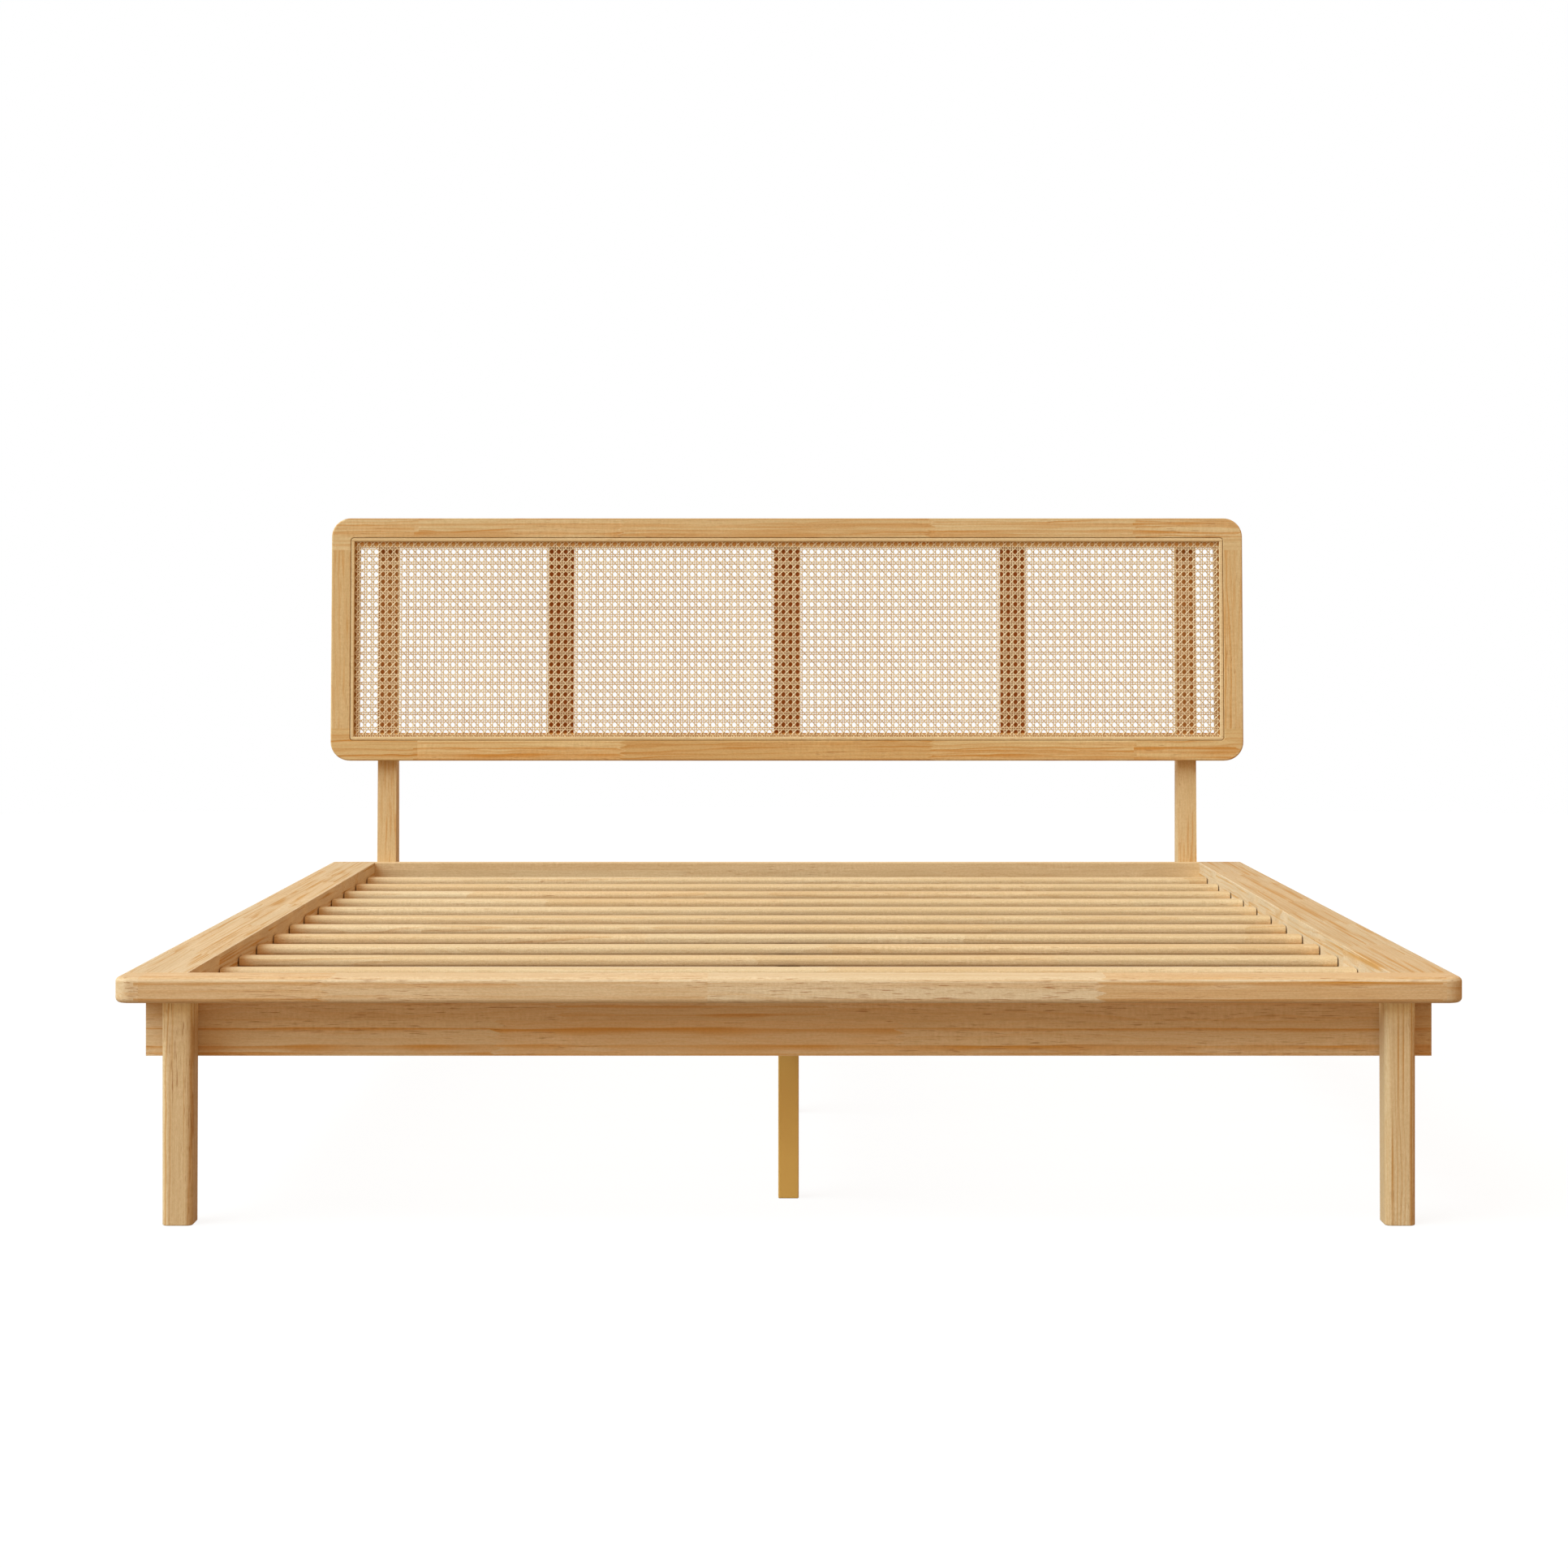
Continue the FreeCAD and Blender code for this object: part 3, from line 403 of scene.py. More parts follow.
def pine(name, order, staves, light=FRAME_LIGHT, dark=FRAME_DARK, rings=110.0, butts=(), streaks=(),
         lines=0.0, peel=0.0, pits=0.0, cane_shade=None, painted_light_top=False):
    """Finger-jointed pine. order gives the axes along, across and through the board.

    staves lists (upper edge across the board, blocks), and blocks (start along it, tone, seed, figure, pink).
    rings is the number of growth rings in a metre. butts are the places along the board where a joint is
    straight, and streaks lists (place across, width, wander, strength, start, end). lines is the strength of
    long amber lines all over it. peel is the share of an orange-peel mottle in the lacquer. pits above zero
    bring more of the short resin marks. stain is a painted shade: a colour that multiplies the front faces
    that lie behind the cane, as the cane's shade on them. With painted_light_top the board grows paler just
    under the rails, as painted light against the shade of their overhang."""
    material, t = new_material(name)
    place = t.object_place()
    axes = t.split(place)
    along, across, depth = (axes["xyz".index(letter)] for letter in order)
    # The joint line goes in and out like a row of fingers
    zigzag = t.math("PINGPONG", across, FINGER / 2)
    for butt in butts:
        away = t.math("ABSOLUTE", t.minus(along, butt))
        zigzag = t.times(zigzag, t.math("GREATER_THAN", away, BUTT_REACH))
    jag = t.plus(along, t.times(zigzag, FINGER_SLOPE))
    ramp_place = t.math("DIVIDE", t.minus(jag, RAMP_START), RAMP_SPAN)
    picks = None
    previous = None
    for index, (edge, blocks) in enumerate(staves):
        tone, seed, figure, pink = constant_ramp(t, ramp_place, blocks)
        stave = (tone, t.plus(seed, float(index)), figure, pink)
        if picks is None:
            picks = stave
        else:
            over = t.math("GREATER_THAN", across, previous)
            picks = tuple(t.blend(over, old, new) for old, new in zip(picks, stave))
        previous = edge
    tone, seed, figure, pink = picks
    streak = 0.0
    for centre, width, wander, strength, start, end in streaks:
        feeds = {"Jag": jag, "Along": along, "Across": across, "Centre": centre, "Width": width,
                 "Wander": wander, "Start": start, "End": end, "Strength": strength}
        line = t.add("ShaderNodeGroup", node_tree=STREAK)
        for key, value in feeds.items():
            t.feed(line.inputs[key], value)
        streak = t.math("MAXIMUM", streak, line.outputs[0])
    if lines:
        line = t.vector(t.plus(along, t.times(seed, LINE_SHIFT)), across, depth)
        drawn = t.noise(line, LINE_SCALE)
        gate = t.ramp(t.noise(line, LINE_GATE_SCALE, detail=1.0), *LINE_GATE_RAMP)
        streak = t.math("MAXIMUM", streak, t.times(t.ramp(drawn, *LINE_RAMP), gate, lines))
    # The short marks lie along the grain, so end faces show none
    facing = t.split(t.add("ShaderNodeNewGeometry").outputs["Normal"])
    end_face = t.math("ABSOLUTE", facing["xyz".index(order[0])])
    marks = t.minus(pits, t.ramp(end_face, *END_FACE_RAMP))
    grain = t.add("ShaderNodeGroup", node_tree=PINE)
    feeds = {"Along": along, "Across": across, "Depth": depth, "Seed": t.times(seed, SEED_SPREAD),
             "Tone": t.times(tone, TONE_SPAN), "Figure": figure, "Pink": pink,
             "Streak": streak, "Rings": rings, "Pits": marks, "Light": light, "Dark": dark}
    for key, value in feeds.items():
        t.feed(grain.inputs[key], value)
    color = grain.outputs["Color"]
    height = grain.outputs["Height"]
    if peel:
        skin = t.noise(place, PEEL_SCALE, detail=1.0)
        shade = t.ramp(skin, *PEEL_RANGE, 1 - peel, 1 + peel * PEEL_LIGHT)
        color = t.mix(1.0, color, t.vector(shade, shade, shade), "MULTIPLY")
        height = t.plus(height, t.times(skin, PEEL_RELIEF))
    # Painted shade: the cane's shade, multiplied into the faces behind it
    if cane_shade:
        color = t.mix(behind_cane(t, axes), color, t.mix(1.0, color, cane_shade, "MULTIPLY"))
    # Painted light: paler towards the rails, against the shade under their overhang
    if painted_light_top:
        painted_light = t.mix(t.ramp(axes[2], PAINTED_LIGHT_FROM, PAINTED_LIGHT_TO), LEG_PAINTED_LIGHT_LOW, LEG_PAINTED_LIGHT_HIGH)
        color = t.mix(1.0, color, t.scaled(painted_light, PAINTED_LIGHT_GAIN), "MULTIPLY")
    bump = t.add("ShaderNodeBump", {"Strength": WOOD_RELIEF, "Distance": WOOD_RELIEF_DEPTH,
                                    "Height": height})
    close_material(t, t.add("ShaderNodeBsdfPrincipled", {
        "Base Color": color, "Roughness": grain.outputs["Roughness"], "Normal": bump.outputs[0],
        "Specular IOR Level": WOOD_SHINE}))
    return material


# Boards whose blocks, joints and amber streaks follow what shows on their fronts. Where a rail has an
# arris, its heights and the tone of its blocks there are given too: a painted highlight on the front rail's
# arris, and painted shade on the headboard's top arris.
# Blocks are (start, tone, seed, figure, pink), streaks (place across, width, wander, strength, start, end).
# Painted highlight: on this band of the front rail's rounded top edge its blocks are lighter and not pink
FRONT_ARRIS_LOW, FRONT_ARRIS_HIGH, FRONT_ARRIS_HIGHLIGHT = 0.3150, 0.3175, 1.07
FRONT_BUTTS = (-0.831, -0.106, 0.829)
FRONT_BLOCKS = [
    (-1.0, 1.02, 0.11, 0.4, 0.5), (-0.831, 1.06, 0.42, 0.3, 1.0), (-0.590, 1.06, 0.83, 0.3, 0.5),
    (-0.106, 1.05, 0.27, 0.2, 0.0), (0.400, 1.02, 0.61, 0.3, 1.0), (0.829, 0.97, 0.74, 0.5, 0.6)]
FRONT_STREAKS = (
    (0.3125, 0.0034, 0.005, 1.00, -0.831, -0.590), (0.2925, 0.0030, 0.003, 0.85, -0.831, -0.590),
    (0.3035, 0.0012, 0.006, 0.45, -0.831, -0.590), (0.3122, 0.0026, 0.004, 0.60, -0.590, -0.340),
    (0.2960, 0.0020, 0.006, 0.35, -0.590, -0.106), (0.3130, 0.0015, 0.004, 0.35, -0.106, 0.400),
    (0.3125, 0.0036, 0.005, 1.00, 0.400, 0.829), (0.2925, 0.0032, 0.004, 0.90, 0.400, 0.829),
    (0.3030, 0.0012, 0.006, 0.45, 0.400, 0.829))
APRON_STAVES = [
    (0.2565, [(-1.0, 1.01, 0.35, 0.3, 0.0), (-0.371, 1.04, 0.58, 0.3, 0.6), (0.150, 0.97, 0.93, 0.3, 0.2)]),
    (ANY_EDGE, [(-1.0, 0.98, 0.21, 0.3, 0.4), (-0.287, 0.98, 0.47, 0.3, 0.3), (0.062, 0.98, 0.66, 0.3, 0.5)])]
APRON_STREAKS = (
    (0.2460, 0.0026, 0.004, 0.90, -1.000, -0.371), (0.2230, 0.0055, 0.003, 1.00, -1.000, -0.371),
    (0.2145, 0.0026, 0.002, 0.85, -1.000, -0.371), (0.2455, 0.0052, 0.004, 1.00, -0.371, 0.150),
    (0.2235, 0.0045, 0.003, 1.00, -0.371, 0.150), (0.2130, 0.0018, 0.002, 0.70, -0.371, 0.150),
    (0.2460, 0.0026, 0.004, 0.90, 0.150, 1.000), (0.2230, 0.0055, 0.003, 1.00, 0.150, 1.000),
    (0.2140, 0.0024, 0.002, 0.80, 0.150, 1.000), (0.2640, 0.0026, 0.004, 0.85, -0.287, 0.062),
    (0.2750, 0.0022, 0.004, 0.70, -0.287, 0.062), (0.2790, 0.0030, 0.004, 0.45, -1.000, -0.287),
    (0.2780, 0.0030, 0.004, 0.45, 0.062, 1.000))
# Painted shade: above this height the headboard rails' blocks are darker, against the light on their top
# arris
RAIL_ARRIS, RAIL_ARRIS_SHADE = 0.9638, 0.74
RAIL_STARTS = (-1.0, -0.702, -0.306, 0.273, 0.651)
RAIL_BUTTS = (-0.702, 0.651)
BOTTOM_STREAKS = (
    (0.5350, 0.0034, 0.008, 0.50, -0.857, -0.702), (0.5190, 0.0034, 0.008, 0.56, -0.857, -0.702),
    (0.5345, 0.0042, 0.010, 0.94, -0.702, -0.306), (0.5270, 0.0030, 0.010, 0.56, -0.702, -0.306),
    (0.5215, 0.0061, 0.010, 1.00, -0.702, -0.306), (0.5140, 0.0038, 0.003, 0.62, -0.702, -0.306),
    (0.5420, 0.0038, 0.004, 0.56, -0.306, 0.273), (0.5140, 0.0046, 0.003, 0.44, -0.306, 0.273),
    (0.5370, 0.0030, 0.008, 0.62, 0.273, 0.651), (0.5305, 0.0042, 0.010, 0.88, 0.273, 0.651),
    (0.5190, 0.0057, 0.010, 1.00, 0.273, 0.651), (0.5345, 0.0042, 0.008, 1.00, 0.651, 0.857),
    (0.5270, 0.0046, 0.008, 0.88, 0.651, 0.857), (0.5175, 0.0053, 0.008, 0.94, 0.651, 0.857))
TOP_STREAKS = (
    (0.9557, 0.0034, 0.008, 0.69, -0.857, -0.702), (0.9460, 0.0030, 0.008, 0.69, -0.857, -0.702),
    (0.9375, 0.0038, 0.008, 0.56, -0.857, -0.702), (0.9555, 0.0030, 0.008, 0.69, -0.702, -0.306),
    (0.9385, 0.0084, 0.006, 1.00, -0.702, -0.306), (0.9470, 0.0027, 0.008, 0.44, -0.702, -0.306),
    (0.9515, 0.0030, 0.008, 0.62, -0.306, 0.273), (0.9435, 0.0027, 0.006, 0.56, -0.306, 0.273),
    (0.9360, 0.0057, 0.004, 0.62, -0.306, 0.273), (0.9440, 0.0046, 0.010, 0.81, 0.273, 0.651),
    (0.9360, 0.0057, 0.005, 0.62, 0.273, 0.651), (0.9560, 0.0046, 0.006, 0.94, 0.651, 0.857),
    (0.9400, 0.0065, 0.008, 1.00, 0.651, 0.857))
# Each headboard rail: name, light wood, tones and pinks of its blocks, and streaks
HEADBOARD_RAILS = (
    ("headboard_bottom_rail", BOARD_LIGHT, (1.02, 1.07, 0.97, 1.06, 1.02), (0.1, 0.0, 0.8, 0.0, 0.1),
     BOTTOM_STREAKS),
    ("headboard_top_rail", TOP_RAIL_LIGHT, (1.03, 1.03, 1.01, 1.03, 1.02), (0.1, 0.0, 0.3, 0.0, 0.1),
     TOP_STREAKS))

# Boards with random blocks: the spans of their blocks. WHOLE is so short that one block fills the board.
WIDE_SPAN = (-1.0, 0.9)
LONG_SPAN = (-1.2, 1.1)
WHOLE = (0.0, 0.1)
# Where their staves meet, the arris inside a side rail, and the tones of its inner face and of the slats:
# painted light on that arris and face, and a painted falloff of light to the right on the slats
REAR_EDGES = (0.252, 0.306)
SIDE_EDGES = (0.8325, 0.806)
SIDE_ARRIS, SIDE_INNER_PAINTED_LIGHT = 0.7745, 1.14
SIDE_APRON_EDGE = 0.252
STILE_EDGES = {"left": -0.831, "right": 0.845}
SLAT_COUNT = 12
SLAT_TONE, SLAT_LIGHT_FALLOFF = 0.985, -0.07
# The largest share of pink in a random block
PINKEST = 0.7


def random_blocks(rng, span, shortest=0.30, longest=0.62, tones=(0.95, 1.04), figures=(0.45, 0.9)):
    """Blocks of random length that cover a span along a board."""
    start, end = span
    blocks = []
    while start < end:
        blocks.append((start, rng.uniform(*tones), rng.random(), rng.uniform(*figures),
                       rng.random() * PINKEST))
        start += rng.uniform(shortest, longest)
    return blocks


def toned(blocks, factor, pinker=1.0):
    """The same blocks with another tone and share of pink."""
    return [(start, tone * factor, seed, figure, pink * pinker) for start, tone, seed, figure, pink in blocks]


def dress(node, material):
    mesh = nodes[node].data
    mesh.materials.clear()
    mesh.materials.append(material)


def dress_ends(rng):
    """Front rail with a painted highlight line on its arris, front apron of two staves, and rear rail of
    three.
    """
    arris = toned(FRONT_BLOCKS, FRONT_ARRIS_HIGHLIGHT, 0.0)
    staves = [(FRONT_ARRIS_LOW, FRONT_BLOCKS), (FRONT_ARRIS_HIGH, arris), (ANY_EDGE, FRONT_BLOCKS)]
    dress("front_rail", pine("pine_front_rail", "xzy", staves, FRONT_LIGHT, FRONT_DARK, rings=90.0,
                             lines=0.3, pits=0.05, butts=FRONT_BUTTS, streaks=FRONT_STREAKS))
    dress("front_apron", pine("pine_front_apron", "xzy", APRON_STAVES, APRON_LIGHT, APRON_DARK, rings=70.0,
                              pits=0.03, streaks=APRON_STREAKS))
    low = random_blocks(rng, WIDE_SPAN)
    middle = random_blocks(rng, WIDE_SPAN, figures=(0.1, 0.3))
    high = random_blocks(rng, WIDE_SPAN, figures=(0.1, 0.3))
    staves = [(REAR_EDGES[0], low), (REAR_EDGES[1], middle), (ANY_EDGE, high)]
    dress("rear_rail", pine("pine_rear_rail", "xzy", staves, REAR_LIGHT, rings=60.0))


def dress_side(rng, side, sign):
    """Rail, apron, cleat, post, legs and stile of one side."""
    edges = sorted(sign * edge for edge in SIDE_EDGES) + [ANY_EDGE]
    staves = [(edge, random_blocks(rng, LONG_SPAN, 0.32, 0.60, (0.96, 1.04))) for edge in edges]
    # Painted light: the inner arris and face are lighter and not pink, a highlight line and a lit face
    if sign > 0:
        staves.insert(0, (SIDE_ARRIS, toned(staves[0][1], SIDE_INNER_PAINTED_LIGHT, 0.0)))
    else:
        inner = staves.pop()[1]
        staves += [(-SIDE_ARRIS, inner), (ANY_EDGE, toned(inner, SIDE_INNER_PAINTED_LIGHT, 0.0))]
    dress("side_rail_" + side, pine("pine_side_rail_" + side, "yxz", staves, SIDE_LIGHT[side], SIDE_DARK,
                                    rings=150.0, lines=0.95))
    staves = [(edge, random_blocks(rng, LONG_SPAN)) for edge in (SIDE_APRON_EDGE, ANY_EDGE)]
    dress("side_apron_" + side, pine("pine_side_apron_" + side, "yzx", staves))
    staves = [(ANY_EDGE, random_blocks(rng, LONG_SPAN))]
    dress("slat_cleat_" + side, pine("pine_cleat_" + side, "yzx", staves))
    staves = [(ANY_EDGE, [(0.0, 0.98, rng.random(), 0.25, 0.0)])]
    dress("headboard_post_" + side, pine("pine_post_" + side, "zxy", staves, POST_LIGHT, BOARD_DARK,
                                         lines=0.60, cane_shade=POST_CANE_SHADE))
    for end in ("front", "rear"):
        name = "%s_leg_%s" % (end, side)
        staves = [(ANY_EDGE, random_blocks(rng, WHOLE))]
        dress(name, pine("pine_" + name, "zxy", staves, LEG_LIGHT, LEG_DARK, rings=190.0, lines=0.85,
                         pits=0.03, painted_light_top=True))
    staves = [(edge, random_blocks(rng, WHOLE)) for edge in (STILE_EDGES[side], ANY_EDGE)]
    dress("headboard_stile_" + side, pine("pine_stile_" + side, "zxy", staves, STILE_LIGHT, BOARD_DARK,
                                          lines=0.5, cane_shade=STILE_CANE_SHADE))


def dress_slats(rng):
    for index in range(SLAT_COUNT):
        name = "slat_%02d" % (index + 1)
        blocks = random_blocks(rng, WIDE_SPAN, 0.35, 0.6, (0.98, 1.03), (0.2, 0.5))
        # Painted light: their tone falls slightly to the right, as the light from the left falls off
        blocks = [(start, tone * (SLAT_TONE + SLAT_LIGHT_FALLOFF * start), seed, figure, pink)
                  for start, tone, seed, figure, pink in blocks]
        dress(name, pine("pine_" + name, "xyz", [(ANY_EDGE, blocks)], SLAT_LIGHT, rings=130.0, peel=0.05))


def dress_headboard(rng):
    """Rails with butt joints near the ends and finger joints towards the middle, battens and beads."""
    for name, light, tones, pinks, streaks in HEADBOARD_RAILS:
        blocks = [(start, tone, rng.random(), rng.uniform(0.8, 1.0), pink)
                  for start, tone, pink in zip(RAIL_STARTS, tones, pinks)]
        staves = [(RAIL_ARRIS, blocks), (ANY_EDGE, toned(blocks, RAIL_ARRIS_SHADE))]
        dress(name, pine("pine_" + name, "xzy", staves, light, RAIL_STREAK, rings=100.0,
                         butts=RAIL_BUTTS, streaks=streaks, lines=0.55, cane_shade=LEDGE_CANE_SHADE))
    for place in ("left", "center", "right"):
        staves = [(ANY_EDGE, random_blocks(rng, WHOLE))]
        dress("headboard_batten_" + place, pine("pine_batten_" + place, "zxy", staves, BOARD_LIGHT,
                                                BOARD_DARK, cane_shade=BATTEN_CANE_SHADE))
    blocks = [(-1.0, 1.14, 0.37, 0.1, 0.0), (0.0, 1.14, 0.87, 0.1, 0.0)]
    bead = pine("pine_bead", "xzy", [(ANY_EDGE, blocks)], BEAD_LIGHT)
    for place in ("bottom", "top", "left", "right"):
        dress("cane_bead_" + place, bead)


def dress_hidden(rng):
    """Centre beam, dark brown as painted shade in the gaps under the slats, and dowels of plain beech."""
    staves = [(ANY_EDGE, random_blocks(rng, LONG_SPAN))]
    dress("center_beam", pine("shade_dark_center_beam", "yzx", staves, BEAM_SHADE_LIGHT, BEAM_SHADE_DARK))
    for kind in ("rail_dowels", "headboard_dowels"):
        dress(kind, pine("beech_" + kind, "xzy", [(ANY_EDGE, [(-1.0, 1.0, 0.5, 0.0, 0.3)])]))


def dress_boards():
    rng = random.Random(7)
    dress_ends(rng)
    dress_side(rng, "left", -1)
    dress_side(rng, "right", 1)
    dress_slats(rng)
    dress_headboard(rng)
    dress_hidden(rng)


OCHRE_DARK, OCHRE_LIGHT = (0.713, 0.426, 0.107, 1), (0.738, 0.443, 0.113, 1)
OCHRE_CLOUD_SCALE, OCHRE_FINE_SCALE = (30.0, 30.0, 9.0), (900.0, 900.0, 120.0)
ZINC_DARK, ZINC_LIGHT = (0.55, 0.56, 0.57, 1), (0.72, 0.73, 0.74, 1)
ZINC_GRAIN_SCALE, SPANGLE_SCALE = (2200.0, 2200.0, 260.0), (160.0, 160.0, 160.0)
ZINC_PARTS = (
    "leg_bolts", "post_bolts", "bolt_washers", "bolt_inserts", "center_leg_studs", "slat_screws",
    "cleat_screws", "apron_screws", "bracket_screws", "headboard_screws", "corner_bracket_left",
    "corner_bracket_right", "beam_hanger_front", "beam_hanger_rear")


def ochre_material():
    """Smooth ochre finish of the middle legs."""
    material, t = new_material("ochre_finish")
    place = t.object_place()
    cloud = t.noise(place, OCHRE_CLOUD_SCALE, detail=3.0)
    fine = t.noise(place, OCHRE_FINE_SCALE)
    color = t.mix(t.ramp(cloud, 0.3, 0.7), OCHRE_DARK, OCHRE_LIGHT)
    bump = t.add("ShaderNodeBump", {"Strength": 0.15, "Distance": 0.0003, "Height": fine})
    rough = t.ramp(fine, 0.2, 0.8, 0.40, 0.52)
    close_material(t, t.add("ShaderNodeBsdfPrincipled", {
        "Base Color": color, "Roughness": rough, "Normal": bump.outputs[0], "Specular IOR Level": 0.3}))
    return material


def zinc_material():
    """Bright zinc plate with a faint spangle and a drawn grain."""
    material, t = new_material("zinc_plate")
    place = t.object_place()
    grain = t.noise(place, ZINC_GRAIN_SCALE, detail=3.0)
    spangle = t.noise(place, SPANGLE_SCALE)
    color = t.mix(spangle, ZINC_DARK, ZINC_LIGHT)
    rough = t.ramp(t.plus(t.times(grain, 0.5), t.times(spangle, 0.5)), 0.3, 0.7, 0.28, 0.45)
    bump = t.add("ShaderNodeBump", {"Strength": 0.2, "Distance": 0.0001, "Height": grain})
    close_material(t, t.add("ShaderNodeBsdfPrincipled", {
        "Base Color": color, "Roughness": rough, "Normal": bump.outputs[0], "Metallic": 1.0}))
    return material


def dress_hardware():
    zinc = zinc_material()
    for node in ZINC_PARTS:
        dress(node, zinc)
    ochre = ochre_material()
    for place in ("front", "middle", "rear"):
        dress("center_leg_" + place, ochre)


# Woven cane: paired uprights, paired levels, and two diagonals that cross between them. In metres.
CANE_THICKNESS = 0.0016
CANE_PITCH_X = 0.01323
CANE_PITCH_Z = 0.01417
CANE_COLUMNS = 124
CANE_ROWS = 26
CANE_FIRST_ROW = 0.0531
# Half the distance between the strands of a pair, half widths of the strands, and their thickness
PAIR_HALF = 0.00195
STRAND_HALF = 0.00085
DIAGONAL_HALF = 0.00090
STRAND_THICKNESS = 0.00050
# How far a strand of a pair and a diagonal move to the front and back as they weave
PAIR_LIFT = 0.00020
DIAGONAL_LIFT = 0.00052
# Widths of the strands differ by up to this share to each side
UNEVEN = 0.10
# Across a strand: place in half widths, and place through it in thicknesses
STRAND_PROFILE = ((-1.0, 0.45), (-0.65, -0.25), (0.0, -0.5), (0.65, -0.25), (1.0, 0.45))
# Lightness of the pairs and of the two diagonals, between the dark and the light cane, random within each
# range and also painted light and shade: the rising diagonals lightest as lit from the upper left, the rest
# darker
PAIR_SHADED_TONES, RISING_LIT_TONES, FALLING_SHADED_TONES = (0.0, 0.7), (0.8, 1.0), (0.1, 0.8)
CANE_DARK, CANE_LIGHT = (0.60, 0.39, 0.20, 1), (0.98, 0.81, 0.52, 1)
CANE_CLOUD = (0.70, 0.45, 0.21, 1)
CANE_FLECK = (0.50, 0.24, 0.08, 1)
CANE_FIBRE_SCALE, CANE_CLOUD_SCALE = (500.0, 500.0, 500.0), (22.0, 22.0, 22.0)


def cane_material():
    material, t = new_material("woven_cane")
    tone = t.add("ShaderNodeAttribute", attribute_name="tone").outputs["Fac"]
    place = t.object_place()
    fibre = t.noise(place, CANE_FIBRE_SCALE, detail=3.0)
    cloud = t.noise(place, CANE_CLOUD_SCALE)
    color = t.mix(tone, CANE_DARK, CANE_LIGHT)
    color = t.mix(t.ramp(cloud, 0.35, 0.7, 0.0, 0.25), color, CANE_CLOUD)
    color = t.mix(t.ramp(fibre, 0.60, 0.78, 0.0, 0.6), color, CANE_FLECK)
    bump = t.add("ShaderNodeBump", {"Strength": 0.25, "Distance": 0.0001, "Height": fibre})
    rough = t.ramp(fibre, 0.2, 0.8, 0.34, 0.48)
    close_material(t, t.add("ShaderNodeBsdfPrincipled", {
        "Base Color": color, "Roughness": rough, "Normal": bump.outputs[0], "Specular IOR Level": 0.7}))
    return material


def strand_mesh(points, sideways, half_width, tone):
    """Vertices, quads and tones of one strand: a flat strip with a crowned front, which faces -Y."""
    count = len(points)
    ring = len(STRAND_PROFILE)
    vertices = np.empty((count, ring, 3))
    for k, (across, through) in enumerate(STRAND_PROFILE):
        vertices[:, k] = points + sideways * (across * half_width)
        vertices[:, k, 1] += through * STRAND_THICKNESS
    base = np.arange(count - 1)[:, None] * ring
    k = np.arange(ring)[None, :]
    following = (k + 1) % ring
    quads = np.stack((base + k, base + following, base + ring + following, base + ring + k), axis=2)
    return vertices.reshape(-1, 3), quads.reshape(-1, 4), np.full(count * ring, tone)


